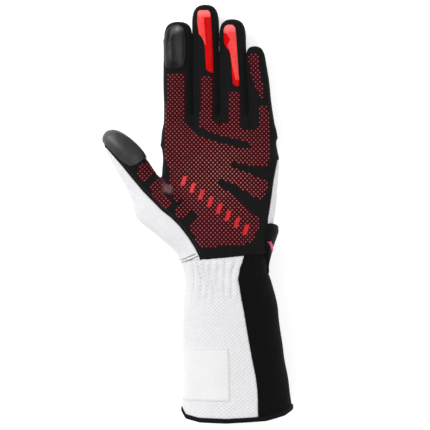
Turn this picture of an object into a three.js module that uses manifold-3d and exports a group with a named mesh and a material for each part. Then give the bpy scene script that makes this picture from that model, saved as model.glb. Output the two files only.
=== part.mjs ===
import * as THREE from "three";
import { mergeVertices } from "three/addons/utils/BufferGeometryUtils.js";
import Module from "manifold-3d";

// A left karting glove, filled out, lying on the back of its hand with the palm up.
// Millimetres: +Y runs along the fingers, +X to the little finger and +Z out of the palm.
// The origin is on the flat patch that the back of the hand rests on, under the mid palm.

// Driving dimensions of the hand
const WRIST_WIDTH = 67;
const WRIST_DEPTH = 48;
const PALM_WIDTH = 94.6;
const KNUCKLE_DEPTH = 30;
const HEEL_LENGTH = 74; // origin to the wrist seam
const KNUCKLE_REACH = 38; // origin to the finger roots
const MIDDLE_LENGTH = 90.8; // finger root to tip
const FINGER_DEPTH = 22;
const FINGER_CURL = 8; // rise of a fingertip above its root
const THUMB_LENGTH = 127; // wrist seam to thumb tip
const THUMB_WIDTH = 26;
const THUMB_SPLAY = 38.35; // degrees from the fingers
const THUMB_LIFT = 5.5; // rise of the thumb tip above its root

// Driving dimensions of the cuff and strap
const CUFF_LENGTH = 132;
const HEM_WIDTH = 91;
const HEM_DEPTH = 60;
const HEM_BAND = 3.6;
const HEM_PROUD = 0.6;
const HEM_RISE = 10.5; // how far the open edge climbs from its middle to its sides
const WRIST_LIFT = 3.6; // gap under the wrist, where the strap passes
const STRAP_WIDTH = 40;
const STRAP_THICK = 2.4;

// Cloth, overlays and clearances
const WALL = 1.6;
const PATCH_THICK = 0.9;
const STRIP_THICK = 1.3;
const LABEL_THICK = 0.8;
const GATHER_DEPTH = 0.8;
const REST_SINK = 2.6; // how much of the soft underside is pressed flat
const GAP = 0.3;
const FINGER_GAP = 0.7;
const WRIST_SEAM_SLOPE = 0.086;
const SKY = 120; // higher than any piece

const AROUND_SLEEVE = 40;
const AROUND_LINING = 24;
const AROUND_FINGER = 14;
const AROUND_THUMB = 16;

const wasm = await Module();
wasm.setup();

const mix = (from, to, share) => from + (to - from) * share;

// Cuff sections, from the wrist seam down: along is a share of the cuff's length, flare
// goes from the wrist's size to the hem's, aside is a share of the hem's width, lift is
// a share of the gap under the wrist and gather a share of the gathers' depth.
const CUFF_SECTIONS = [
  { along: 1.0, aside: 0.163, flare: 1.0, lift: 0, gather: 0 },
  { along: 0.8, aside: 0.15, flare: 0.78, lift: 0, gather: 0 },
  { along: 0.6, aside: 0.124, flare: 0.64, lift: 0.05, gather: 0 },
  { along: 0.44, aside: 0.109, flare: 0.5, lift: 0.2, gather: 0 },
  { along: 0.32, aside: 0.098, flare: 0.38, lift: 0.5, gather: 0 },
  { along: 0.25, aside: 0.089, flare: 0.28, lift: 0.7, gather: 0.6 },
  { along: 0.19, aside: 0.082, flare: 0.18, lift: 0.85, gather: 1 },
  { along: 0.13, aside: 0.073, flare: 0.06, lift: 1, gather: 1 },
  { along: 0.08, aside: 0.056, flare: 0, lift: 1, gather: 1 },
  { along: 0.04, aside: 0.042, flare: 0.06, lift: 1, gather: 0.4 },
];

// Palm sections, from the wrist seam up: along is a share of the palm's length, spread
// goes from the wrist's width to the palm's, slim from the wrist's depth to the
// knuckles', and aside is a share of the palm's width.
const PALM_SECTIONS = [
  { along: 0.0, aside: 0.034, spread: 0.12, slim: 0.03, lift: 1 },
  { along: 0.1, aside: 0.037, spread: 0.22, slim: 0.06, lift: 1 },
  { along: 0.2, aside: 0.032, spread: 0.4, slim: 0.1, lift: 0.85 },
  { along: 0.28, aside: 0.028, spread: 0.59, slim: 0.15, lift: 0.35 },
  { along: 0.38, aside: 0.014, spread: 0.78, slim: 0.24, lift: 0 },
  { along: 0.48, aside: 0.004, spread: 0.93, slim: 0.37, lift: 0 },
  { along: 0.58, aside: 0.006, spread: 1.0, slim: 0.5, lift: 0 },
  { along: 0.7, aside: 0.014, spread: 0.93, slim: 0.62, lift: 0 },
  { along: 0.78, aside: -0.001, spread: 0.94, slim: 0.72, lift: 0 },
  { along: 0.89, aside: -0.006, spread: 0.95, slim: 0.95, lift: 0.05 },
  { along: 0.96, aside: -0.006, spread: 0.93, slim: 1.18, lift: 0.35 },
  { along: 1.0, aside: -0.006, spread: 0.89, slim: 1.42, lift: 0.75 },
];

// Thumb sections, from the wrist to the tip: half and aside are shares of the thumb's
// width, turn is the section's own angle in degrees and plump its depth over its width.
const THUMB_SECTIONS = [
  { along: 0.0, aside: 0.0, half: 0.78, turn: -1, plump: 0.98 },
  { along: 0.084, aside: 0.05, half: 0.845, turn: 2, plump: 0.9 },
  { along: 0.225, aside: 0.045, half: 0.975, turn: 6, plump: 0.78 },
  { along: 0.362, aside: -0.055, half: 0.885, turn: 17, plump: 0.76 },
  { along: 0.47, aside: -0.127, half: 0.71, turn: 30, plump: 0.82 },
  { along: 0.583, aside: -0.08, half: 0.546, turn: 32, plump: 0.9 },
  { along: 0.665, aside: -0.04, half: 0.504, turn: 31, plump: 0.92 },
  { along: 0.739, aside: 0.012, half: 0.49, turn: 29, plump: 0.92 },
  { along: 0.809, aside: 0.05, half: 0.458, turn: 29, plump: 0.93 },
  { along: 0.876, aside: 0.05, half: 0.408, turn: 30, plump: 0.95 },
  { along: 0.941, aside: 0.04, half: 0.32, turn: 34, plump: 0.98 },
  { along: 0.982, aside: 0.03, half: 0.19, turn: 38, plump: 1 },
  { along: 1.0, aside: 0.02, half: 0.07, turn: 38, plump: 1 },
];

// Fingers: the places of their sides at the root and at the tip, in shares of the palm's
// width; long is a share of the middle finger's length, deep of the fingers' depth.
const FINGERS = [
  {
    name: "index",
    rootLeft: -0.496,
    rootRight: -0.237,
    tipLeft: -0.484,
    tipRight: -0.237,
    long: 0.848,
    deep: 1,
  },
  {
    name: "middle",
    rootLeft: -0.237,
    rootRight: -0.002,
    tipLeft: -0.24,
    tipRight: -0.004,
    long: 1,
    deep: 1,
  },
  {
    name: "ring",
    rootLeft: -0.002,
    rootRight: 0.255,
    tipLeft: -0.002,
    tipRight: 0.226,
    long: 0.871,
    deep: 0.97,
  },
  {
    name: "little",
    rootLeft: 0.255,
    rootRight: 0.486,
    tipLeft: 0.241,
    tipRight: 0.389,
    long: 0.633,
    deep: 0.85,
  },
];

// One finger's sections: along is a share of the finger's length, wide of its width and
// deep of its depth there. The first one lies inside the palm.
const FINGER_SECTIONS = [
  { along: -0.3, wide: 0.9, deep: 0.86 },
  { along: 0.0, wide: 1, deep: 1 },
  { along: 0.35, wide: 1, deep: 0.97 },
  { along: 0.65, wide: 1, deep: 0.9 },
  { along: 0.84, wide: 0.99, deep: 0.84 },
  { along: 0.9, wide: 0.93, deep: 0.78 },
  { along: 0.95, wide: 0.81, deep: 0.67 },
  { along: 0.985, wide: 0.52, deep: 0.42 },
  { along: 1.0, wide: 0.2, deep: 0.16 },
];

// Soft dents in the palm side: across and along are shares of the palm's width and
// length, reach of its width and depth of the knuckles' depth.
const DENTS = [
  { across: 0.02, along: 0.58, reach: 0.26, depth: 0.13 },
  { across: -0.28, along: 0.45, reach: 0.12, depth: 0.07 },
  { across: 0.0, along: -0.02, reach: 0.3, depth: 0.04 },
];

// The palm leather's edge beside the thumb, in the thumb's own shares.
const THUMB_SEAM = [
  { along: 0.96, aside: -0.6 },
  { along: 0.944, aside: -0.3 },
  { along: 0.868, aside: -0.28 },
  { along: 0.676, aside: -0.23 },
  { along: 0.463, aside: -0.15 },
  { along: 0.322, aside: -0.03 },
  { along: 0.251, aside: 0.01 },
  { along: 0.157, aside: 0.0 },
  { along: 0.084, aside: -0.05 },
  { along: -0.1, aside: -0.2 },
];

// The palm leather's edge on the little-finger side, in shares of the palm.
const OUTER_SEAM = [
  { across: 0.41, along: -0.2 },
  { across: 0.41, along: 0.261 },
  { across: 0.427, along: 0.354 },
  { across: 0.461, along: 0.554 },
  { across: 0.495, along: 0.696 },
  { across: 0.62, along: 0.8 },
];

// The white cloth's edge on the cuff: along and across are shares of the cuff's length
// and of the hem's width.
const CUFF_SEAM = [
  { along: -0.1, across: 0.22 },
  { along: 0.05, across: 0.195 },
  { along: 0.12, across: 0.166 },
  { along: 0.24, across: 0.178 },
  { along: 0.5, across: 0.251 },
  { along: 0.7, across: 0.312 },
  { along: 0.85, across: 0.333 },
  { along: 1.1, across: 0.34 },
];

// The open edge's climb, from the thumb side to the little-finger side.
const HEM_CURVE = [
  { across: -0.9, rise: 1.5 },
  { across: -0.53, rise: 1.25 },
  { across: -0.46, rise: 0.45 },
  { across: -0.34, rise: 0.08 },
  { across: -0.1, rise: 0 },
  { across: 0.25, rise: 0.12 },
  { across: 0.42, rise: 0.4 },
  { across: 0.52, rise: 0.85 },
  { across: 0.9, rise: 1.4 },
];

// The back's seam across the knuckles, in shares of the palm.
const KNUCKLE_SEAM = [
  { across: -0.8, along: 0.765 },
  { across: 0.8, along: 0.68 },
];

// Overlays on a finger, in the finger's shares, from the tip down.
const OVERLAYS = [
  {
    name: "index_tip_patch",
    finger: "index",
    thick: PATCH_THICK,
    look: "smooth_leather",
    outline: [
      { along: 0.965, left: -0.28, right: 0.2 },
      { along: 0.9, left: -0.4, right: 0.33 },
      { along: 0.7, left: -0.44, right: 0.35 },
      { along: 0.58, left: -0.42, right: 0.34 },
      { along: 0.53, left: -0.3, right: 0.25 },
    ],
  },
  {
    name: "middle_grip_strip",
    finger: "middle",
    thick: STRIP_THICK,
    look: "red_silicone",
    outline: [
      { along: 0.945, left: -0.18, right: 0.2 },
      { along: 0.87, left: -0.22, right: 0.27 },
      { along: 0.73, left: -0.17, right: 0.3 },
      { along: 0.66, left: -0.03, right: 0.31 },
      { along: 0.52, left: 0.04, right: 0.32 },
      { along: 0.41, left: 0.13, right: 0.31 },
    ],
  },
  {
    name: "ring_grip_strip",
    finger: "ring",
    thick: STRIP_THICK,
    look: "red_silicone",
    outline: [
      { along: 0.925, left: -0.2, right: 0.1 },
      { along: 0.86, left: -0.31, right: 0.12 },
      { along: 0.74, left: -0.3, right: 0.14 },
      { along: 0.66, left: -0.12, right: 0.15 },
      { along: 0.48, left: -0.05, right: 0.16 },
      { along: 0.33, left: 0.02, right: 0.18 },
    ],
  },
];

// The leather overlay on the thumb tip, in the thumb's shares.
const THUMB_PATCH = [
  { along: 0.992, left: -0.12, right: 0.16 },
  { along: 0.9, left: -0.2, right: 0.42 },
  { along: 0.8, left: -0.16, right: 0.5 },
  { along: 0.74, left: -0.05, right: 0.53 },
  { along: 0.715, left: 0.12, right: 0.5 },
];

// The thumb's black back starts at this share of its length.
const THUMB_CAP = 0.87;

// A row of slanted bars runs across the palm, from the first place to the last.
const SEAM_OVERRUN = 4; // past a limb's last rib
const SHARPEST_MITRE = 0.4; // of a cut's corner
const PAST_TIP = 1.3; // of the thumb's length
const CREASE_FROM = -0.8; // of the shorter finger
const CREASE_TO = 1.6; // of the shorter finger
const BAR_COUNT = 8;
const BAR_THICK = 0.6;
const BAR_LENGTH = 8.5;
const BAR_WIDTH = 3.6;
const BAR_TILT = 72; // degrees from +X
const BAR_ROW = { from: { across: -0.3, along: 0.545 }, to: { across: 0.22, along: 0.2 } };

// The blank patch on the cuff, in shares of the hem's width and of the cuff's length.
const LABEL = { left: -0.8, right: 0.083, top: 0.535, bottom: 0.85 };

// The wrist strap: back is how far its end reaches across the back of the wrist and
// front how far it shows in front, in shares of the wrist's width; below is how much of
// its width lies below the wrist seam.
const STRAP = { back: -0.3, front: 0.53, below: 0.32, taper: 0.3 };
const ACCENT = { across: 0.555, wide: 2.2, long: 10.5, tilt: -60, above: 0.25 };

// Worked-out places
const PALM_LENGTH = HEEL_LENGTH + KNUCKLE_REACH;
const SPLAY = THREE.MathUtils.degToRad(THUMB_SPLAY);
const THUMB_DIRECTION = new THREE.Vector2(-Math.sin(SPLAY), Math.cos(SPLAY));
const THUMB_ASIDE = new THREE.Vector2(Math.cos(SPLAY), Math.sin(SPLAY));
const THUMB_ROOT = new THREE.Vector2(-0.127 * PALM_WIDTH, -HEEL_LENGTH);

// A place on the palm, the cuff, the thumb or a finger, from its shares.
const palmPoint = ({ across, along }) => [across * PALM_WIDTH, along * PALM_LENGTH - HEEL_LENGTH];
const cuffPoint = ({ across, along }) => [across * HEM_WIDTH, -HEEL_LENGTH - along * CUFF_LENGTH];

function thumbPoint({ along, aside }) {
  const place = THUMB_ROOT.clone();
  place.addScaledVector(THUMB_DIRECTION, along * THUMB_LENGTH);
  place.addScaledVector(THUMB_ASIDE, aside * THUMB_WIDTH);
  return [place.x, place.y];
}

const fingerSide = (finger, side, along) =>
  mix(finger[`root${side}`], finger[`tip${side}`], along) * PALM_WIDTH;

function fingerWidth(finger, along) {
  return fingerSide(finger, "Right", along) - fingerSide(finger, "Left", along) - FINGER_GAP;
}

function fingerPoint(finger, along, across) {
  const centre = (fingerSide(finger, "Right", along) + fingerSide(finger, "Left", along)) / 2;
  return [
    centre + across * fingerWidth(finger, along),
    KNUCKLE_REACH + along * finger.long * MIDDLE_LENGTH,
  ];
}

// The tables become ribs: a centre, half a width and half a depth, with room, half the
// width that a limb's own side seam may cut, and for closed limbs a heading to the tip.
function sleeveRibs() {
  const cuff = CUFF_SECTIONS.map((row) => {
    const depth = mix(WRIST_DEPTH, HEM_DEPTH, row.flare);
    return {
      x: row.aside * HEM_WIDTH,
      y: -HEEL_LENGTH - row.along * CUFF_LENGTH,
      z: depth / 2 + mix(-REST_SINK, WRIST_LIFT, row.lift),
      half: mix(WRIST_WIDTH, HEM_WIDTH, row.flare) / 2,
      deep: depth / 2,
      room: mix(WRIST_WIDTH, HEM_WIDTH, row.flare) / 2 + 2 * WALL,
      gather: row.gather,
    };
  });
  const palm = PALM_SECTIONS.map((row) => {
    const depth = mix(WRIST_DEPTH, KNUCKLE_DEPTH, row.slim);
    return {
      x: row.aside * PALM_WIDTH,
      y: row.along * PALM_LENGTH - HEEL_LENGTH,
      z: depth / 2 + mix(-REST_SINK, WRIST_LIFT, row.lift),
      half: mix(WRIST_WIDTH, PALM_WIDTH, row.spread) / 2,
      deep: depth / 2,
      room: mix(WRIST_WIDTH, PALM_WIDTH, row.spread) / 2 + 2 * WALL,
      heading: new THREE.Vector2(0, 1),
      tipward: row.along === 1 ? 1 : 0,
      dented: true,
    };
  });
  return [...cuff, ...palm];
}

function fingerRibs(finger) {
  const rootHeight = KNUCKLE_DEPTH / 2 - REST_SINK / 2;
  return FINGER_SECTIONS.map((row) => {
    const [x, y] = fingerPoint(finger, row.along, 0);
    const width = fingerWidth(finger, row.along);
    return {
      x,
      y,
      z: rootHeight + FINGER_CURL * Math.max(row.along, 0) ** 1.6,
      half: (row.wide * width) / 2,
      deep: (row.deep * finger.deep * FINGER_DEPTH) / 2,
      room: (width + 0.8 * FINGER_GAP) / 2,
      tipward: Math.max(row.along, 0) ** 3,
      heading: new THREE.Vector2(0, 1),
    };
  });
}

function thumbRibs() {
  const rootHeight = WRIST_DEPTH / 2 + WRIST_LIFT / 2;
  return THUMB_SECTIONS.map((row) => {
    const [x, y] = thumbPoint(row);
    const half = row.half * THUMB_WIDTH;
    return {
      x,
      y,
      z: rootHeight + THUMB_LIFT * row.along,
      half,
      deep: half * row.plump,
      room: Math.max(half, THUMB_WIDTH / 2) + 2 * WALL,
      turn: THREE.MathUtils.degToRad(row.turn),
      tipward: row.along ** 3,
      heading: THUMB_DIRECTION,
    };
  });
}

function dentAt(x, y) {
  return DENTS.reduce((sum, dent) => {
    const [cx, cy] = palmPoint(dent);
    const away = Math.hypot(x - cx, y - cy) / (dent.reach * PALM_WIDTH);
    return sum + dent.depth * KNUCKLE_DEPTH * Math.exp(-away * away);
  }, 0);
}

function solidFromArrays(vertProperties, triVerts) {
  return new wasm.Manifold(new wasm.Mesh({ numProp: 3, vertProperties, triVerts }));
}

// A closed solid from rings of points that all have the same count.
function solidFromRings(rings) {
  const around = rings[0].length;
  const positions = rings.flat(2);
  const faces = [];
  for (let ring = 0; ring + 1 < rings.length; ring++) {
    for (let i = 0; i < around; i++) {
      const here = ring * around + i;
      const beside = ring * around + ((i + 1) % around);
      faces.push(here, here + around, beside, beside, here + around, beside + around);
    }
  }
  for (const [ring, first] of [
    [0, true],
    [rings.length - 1, false],
  ]) {
    const hub = positions.length / 3;
    positions.push(...[0, 1, 2].map((k) => rings[ring].reduce((sum, p) => sum + p[k], 0) / around));
    for (let i = 0; i < around; i++) {
      const here = ring * around + i;
      const beside = ring * around + ((i + 1) % around);
      faces.push(...(first ? [hub, here, beside] : [hub, beside, here]));
    }
  }
  return solidFromArrays(new Float32Array(positions), new Uint32Array(faces));
}

// A soft tube through its ribs, grown outwards by grow, or inwards where it is negative.
// Its underside is pressed flat on the table, a wall's thickness higher inside.
function softTube(ribs, around, grow) {
  const tableHeight = Math.max(-grow, 0);
  const squareness = 2.3;
  const leastHalf = 0.3;
  const rings = ribs.map((rib) => {
    const turn = rib.turn ?? 0;
    const forward = rib.heading ? rib.heading.clone().multiplyScalar(grow * rib.tipward) : { x: 0, y: 0 };
    return Array.from({ length: around }, (_, i) => {
      const angle = (2 * Math.PI * i) / around;
      const pleat = grow === 0 && i % 2 ? -(rib.gather ?? 0) * GATHER_DEPTH : 0;
      const c = Math.cos(angle);
      const s = Math.sin(angle);
      const wide = Math.max(rib.half + grow + pleat, leastHalf);
      const side = Math.sign(c) * Math.abs(c) ** (2 / squareness) * wide;
      const tall = Math.max(rib.deep + grow + pleat, leastHalf);
      const up = Math.sign(s) * Math.abs(s) ** (2 / squareness) * tall;
      const x = rib.x + side * Math.cos(turn) + forward.x;
      const y = rib.y + side * Math.sin(turn) + forward.y;
      const dent = up > 0 && rib.dented ? dentAt(x, y) * s * s : 0;
      return [x, y, Math.max(rib.z + up - dent, tableHeight)];
    });
  });
  return solidFromRings(rings);
}

// An upright block from an outline in the plane of the table.
function upright(outline, low = -SKY) {
  const shape = new THREE.Shape(outline.map(([x, y]) => new THREE.Vector2(x, y)));
  const block = new THREE.ExtrudeGeometry(shape, { depth: SKY - low, bevelEnabled: false });
  block.translate(0, 0, low);
  block.deleteAttribute("normal");
  block.deleteAttribute("uv");
  const merged = mergeVertices(block);
  return solidFromArrays(merged.attributes.position.array, new Uint32Array(merged.index.array));
}

// The same outline, moved outwards by a distance on every side.
function swollen(outline, by) {
  const turning = THREE.ShapeUtils.area(outline.map(([x, y]) => ({ x, y }))) > 0 ? 1 : -1;
  return outline.map((point, i) => {
    const before = outline.at(i - 1);
    const after = outline[(i + 1) % outline.length];
    const into = new THREE.Vector2(point[0] - before[0], point[1] - before[1]).normalize();
    const out = new THREE.Vector2(after[0] - point[0], after[1] - point[1]).normalize();
    const normal = new THREE.Vector2(into.y + out.y, -into.x - out.x).normalize();
    const reach = (turning * by) / Math.max(normal.x * into.y - normal.y * into.x, SHARPEST_MITRE);
    return [point[0] + normal.x * reach, point[1] + normal.y * reach];
  });
}

// Everything in front of a limb's side seam, which lies at mid depth, lowered by drop.
function frontBlock(ribs, drop) {
  const last = ribs.at(-1);
  const heading = last.heading ?? new THREE.Vector2(0, 1);
  const past = { ...last, x: last.x + SEAM_OVERRUN * heading.x, y: last.y + SEAM_OVERRUN * heading.y };
  const rings = [...ribs, past].map((rib) => {
    const turn = rib.turn ?? 0;
    const corner = (side, z) => [rib.x + side * Math.cos(turn), rib.y + side * Math.sin(turn), z];
    const seam = rib.z - drop;
    return [corner(rib.room, seam), corner(rib.room, SKY), corner(-rib.room, SKY), corner(-rib.room, seam)];
  });
  return solidFromRings(rings);
}

const joined = (solids) => solids.reduce((all, solid) => all.add(solid));

// A cut can leave loose crumbs of cloth at the finger roots: only the piece is kept.
function largest(solid) {
  return solid.decompose().reduce((best, part) => (part.volume() > best.volume() ? part : best));
}

// The ribs of the sleeve (cuff and palm), the thumb and the fingers
const sleeve = sleeveRibs();
const thumb = thumbRibs();
const fingers = FINGERS.map((finger) => ({ ...finger, ribs: fingerRibs(finger) }));
const openEnd = { ...sleeve[0], y: sleeve[0].y - 2 * HEM_BAND };

function form(grow, aroundSleeve, sleeveEnd) {
  return joined([
    softTube([sleeveEnd, ...sleeve], aroundSleeve, grow),
    softTube(thumb, AROUND_THUMB, grow),
    ...fingers.map(({ ribs }) => softTube(ribs, AROUND_FINGER, grow)),
  ]);
}

// The whole skin, one wall thick and open at the hem
const longEnd = { ...openEnd, y: openEnd.y - HEM_BAND };
const lining = form(-WALL, AROUND_LINING, longEnd);
const shell = form(0, AROUND_SLEEVE, openEnd).subtract(lining);

// Outlines in the plane of the table
const FAR = 3 * PALM_WIDTH;
const wristSeamAt = (x, shift) => [x, -HEEL_LENGTH + x * WRIST_SEAM_SLOPE + shift];
const hemEdge = (shift) =>
  HEM_CURVE.map(({ across, rise }) => {
    const [x, y] = cuffPoint({ across, along: 1 });
    return [x + sleeve[0].x, y + rise * HEM_RISE + shift];
  });
const knuckleEdge = (shift) => KNUCKLE_SEAM.map(palmPoint).map(([x, y]) => [x, y + shift]);
const palmEdge = [
  ...THUMB_SEAM.map(thumbPoint),
  ...OUTER_SEAM.map(palmPoint),
  [FAR, FAR],
  [-FAR, FAR],
  [-FAR, thumbPoint(THUMB_SEAM[0])[1]],
];
const thumbCap = [
  [THUMB_CAP, -1],
  [THUMB_CAP, 1],
  [PAST_TIP, 1],
  [PAST_TIP, -1],
].map(([along, aside]) => thumbPoint({ along, aside }));
const blackSide = [...CUFF_SEAM.map(cuffPoint), [FAR, -FAR], [FAR, 0]];

// The line between two neighbouring fingers, drawn out past both ends
function crease(left, right, shift) {
  const at = (along) => {
    const other = (along * Math.min(left.long, right.long)) / Math.max(left.long, right.long);
    const [a, b] = left.long < right.long ? [along, other] : [other, along];
    const [xa, y] = fingerPoint(left, a, 0.5);
    return [(xa + fingerPoint(right, b, -0.5)[0]) / 2 + shift, y];
  };
  return [at(CREASE_FROM), at(CREASE_TO)];
}

function fingerStrip(i) {
  const farSide = (side) => [[side * FAR, -FAR], [side * FAR, FAR]];
  const left = i > 0 ? crease(fingers[i - 1], fingers[i], GAP / 2) : farSide(-1);
  const isLast = i + 1 === fingers.length;
  const right = isLast ? farSide(1) : crease(fingers[i], fingers[i + 1], -GAP / 2);
  return [right[0], right[1], left[1], left[0]];
}

const limbs = [sleeve.slice(-PALM_SECTIONS.length - 1), thumb, ...fingers.map(({ ribs }) => ribs)];
const sideSeam = (drop) => joined(limbs.map((ribs) => frontBlock(ribs, drop)));

// Hand pieces
const aboveWrist = [wristSeamAt(-FAR, GAP / 2), wristSeamAt(FAR, GAP / 2), [FAR, FAR], [-FAR, FAR]];
const hand = shell.intersect(upright(aboveWrist));
const palmPanel = hand.intersect(sideSeam(0)).intersect(upright(palmEdge));
const backs = hand.subtract(sideSeam(GAP).intersect(upright(swollen(palmEdge, GAP))));
const belowKnuckles = upright([...knuckleEdge(-GAP / 2), [FAR, -FAR], [-FAR, -FAR]]);
const aboveKnuckles = upright([...knuckleEdge(GAP / 2), [FAR, FAR], [-FAR, FAR]]);

// Cuff pieces
const cuff = shell.intersect(
  upright([wristSeamAt(FAR, -GAP / 2), wristSeamAt(-FAR, -GAP / 2), ...hemEdge(HEM_BAND + GAP)]),
);
const hemRing = softTube([openEnd, ...sleeve], AROUND_SLEEVE, HEM_PROUD).subtract(lining);

// A layer that lies on one limb, or on the whole skin, at a clearance from it
const onLimb = (ribs, around, clear, thick) =>
  softTube(ribs, around, clear + thick).subtract(softTube(ribs, around, clear));
const onSkin = (clear, thick) =>
  form(clear + thick, AROUND_SLEEVE, openEnd).subtract(form(clear, AROUND_SLEEVE, openEnd));

const looks = {
  black_suede: { color: 0x191b1d, roughness: 0.95, metalness: 0 },
  white_knit: { color: 0xe6e6ea, roughness: 0.9, metalness: 0 },
  black_knit: { color: 0x121212, roughness: 0.9, metalness: 0 },
  smooth_leather: { color: 0x2b2d2e, roughness: 0.4, metalness: 0 },
  red_silicone: { color: 0xc8090c, roughness: 0.45, metalness: 0 },
  pink_print: { color: 0xd24a74, roughness: 0.6, metalness: 0 },
  white_patch: { color: 0xeeeef0, roughness: 0.6, metalness: 0 },
};

const group = new THREE.Group();

function addPiece(name, solid, look) {
  const { vertProperties, triVerts } = largest(solid).getMesh();
  const geometry = new THREE.BufferGeometry();
  geometry.setAttribute("position", new THREE.BufferAttribute(new Float32Array(vertProperties), 3));
  geometry.setIndex(new THREE.BufferAttribute(new Uint32Array(triVerts), 1));
  geometry.computeVertexNormals();
  const mesh = new THREE.Mesh(geometry, new THREE.MeshStandardMaterial(looks[look]));
  mesh.name = name;
  group.add(mesh);
}

addPiece("palm_panel", palmPanel, "black_suede");
const backOfHand = backs.subtract(upright(swollen(thumbCap, GAP)));
addPiece("back_panel", backOfHand.intersect(belowKnuckles), "white_knit");
addPiece("thumb_back", backs.intersect(upright(thumbCap)), "black_knit");
fingers.forEach((finger, i) => {
  const strip = upright(fingerStrip(i));
  addPiece(`${finger.name}_back`, backs.intersect(aboveKnuckles).intersect(strip), "black_knit");
});

// Overlays on the fingertips
for (const { name, finger: fingerName, thick, look, outline } of OVERLAYS) {
  const finger = fingers.find((one) => one.name === fingerName);
  const edge = [
    ...outline.map(({ along, right }) => fingerPoint(finger, along, right)),
    ...outline.map(({ along, left }) => fingerPoint(finger, along, left)).reverse(),
  ];
  const pad = onLimb(finger.ribs, AROUND_FINGER, GAP, thick);
  addPiece(name, pad.intersect(upright(edge, finger.ribs[0].z)), look);
}
const thumbPatchEdge = [
  ...THUMB_PATCH.map(({ along, right }) => thumbPoint({ along, aside: right })),
  ...THUMB_PATCH.map(({ along, left }) => thumbPoint({ along, aside: left })).reverse(),
];
addPiece(
  "thumb_tip_patch",
  onLimb(thumb, AROUND_THUMB, GAP, PATCH_THICK).intersect(upright(thumbPatchEdge, thumb.at(-1).z)),
  "smooth_leather",
);

// Slanted bars across the palm
const barLayer = onSkin(GAP, BAR_THICK);
const barTilt = THREE.MathUtils.degToRad(BAR_TILT);
for (let i = 0; i < BAR_COUNT; i++) {
  const share = i / (BAR_COUNT - 1);
  const [x, y] = palmPoint({
    across: mix(BAR_ROW.from.across, BAR_ROW.to.across, share),
    along: mix(BAR_ROW.from.along, BAR_ROW.to.along, share),
  });
  const corner = (side, end) => [
    x + (side * BAR_WIDTH) / 2 + (end * BAR_LENGTH * Math.cos(barTilt)) / 2,
    y + (end * BAR_LENGTH * Math.sin(barTilt)) / 2,
  ];
  const bar = upright([corner(-1, -1), corner(1, -1), corner(1, 1), corner(-1, 1)], KNUCKLE_DEPTH / 2);
  addPiece(`palm_bar_${i + 1}`, barLayer.intersect(bar), "red_silicone");
}

// Cuff, its binding and its blank patch
addPiece("cuff_white_panel", cuff.subtract(upright(swollen(blackSide, GAP))), "white_knit");
addPiece("cuff_black_panel", cuff.intersect(upright(blackSide)), "black_knit");
const hemBand = upright([...hemEdge(HEM_BAND), ...hemEdge(0).reverse()]);
addPiece("cuff_hem", hemRing.intersect(hemBand), "black_knit");
const labelEdge = [
  [LABEL.left, LABEL.bottom],
  [LABEL.right, LABEL.bottom],
  [LABEL.right, LABEL.top],
  [LABEL.left, LABEL.top],
].map(([across, along]) => cuffPoint({ across, along }));
addPiece(
  "name_patch",
  onSkin(GAP, LABEL_THICK).intersect(upright(labelEdge, HEM_DEPTH / 2)),
  "white_patch",
);

// The strap comes round the little-finger side and across the back of the wrist.
const strapLow = -HEEL_LENGTH - STRAP.below * STRAP_WIDTH;
const strapHigh = strapLow + STRAP_WIDTH;
const strapInset = STRAP.taper * STRAP_WIDTH;
const strapTip = STRAP.back * WRIST_WIDTH;
const wristSide = WRIST_WIDTH / 2;
const strapShape = upright([
  [FAR, strapLow],
  [FAR, strapHigh],
  [wristSide, strapHigh],
  [0, strapHigh - strapInset],
  [strapTip, strapHigh - strapInset],
  [strapTip - strapInset / 2, strapHigh - 1.5 * strapInset],
  [strapTip - strapInset / 2, strapLow + strapInset / 2],
  [strapTip, strapLow],
]);
const strapFront = [
  [STRAP.front * WRIST_WIDTH, strapLow],
  [FAR, strapLow],
  [FAR, strapHigh],
  [STRAP.front * WRIST_WIDTH, strapHigh - strapInset / 3],
];
const wristTop = upright([[-FAR, -FAR], [FAR, -FAR], [FAR, FAR], [-FAR, FAR]], WRIST_DEPTH / 2);
const strapBand = onSkin(GAP, STRAP_THICK).intersect(strapShape);
addPiece("wrist_strap", strapBand.subtract(wristTop.subtract(upright(strapFront))), "black_knit");

const accentTilt = THREE.MathUtils.degToRad(ACCENT.tilt);
const accentMid = [
  ACCENT.across * WRIST_WIDTH + STRAP_THICK,
  mix(strapLow, strapHigh, 0.5 + ACCENT.above / 2),
];
const accentCorner = (side, end) => [
  accentMid[0] + (side * ACCENT.wide) / 2 + (end * ACCENT.long * Math.cos(accentTilt)) / 2,
  accentMid[1] + (end * ACCENT.long * Math.sin(accentTilt)) / 2,
];
const accentOutline = [accentCorner(-1, -1), accentCorner(1, -1), accentCorner(1, 1), accentCorner(-1, 1)];
const accentLayer = onSkin(2 * GAP + STRAP_THICK, LABEL_THICK / 2);
addPiece("strap_accent", accentLayer.intersect(upright(accentOutline, WRIST_DEPTH / 2)), "pink_print");

export default group;
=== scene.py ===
import math

import bmesh
import bpy
import numpy as np
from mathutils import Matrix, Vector
from mathutils.bvhtree import BVHTree
from mathutils.kdtree import KDTree


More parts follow.
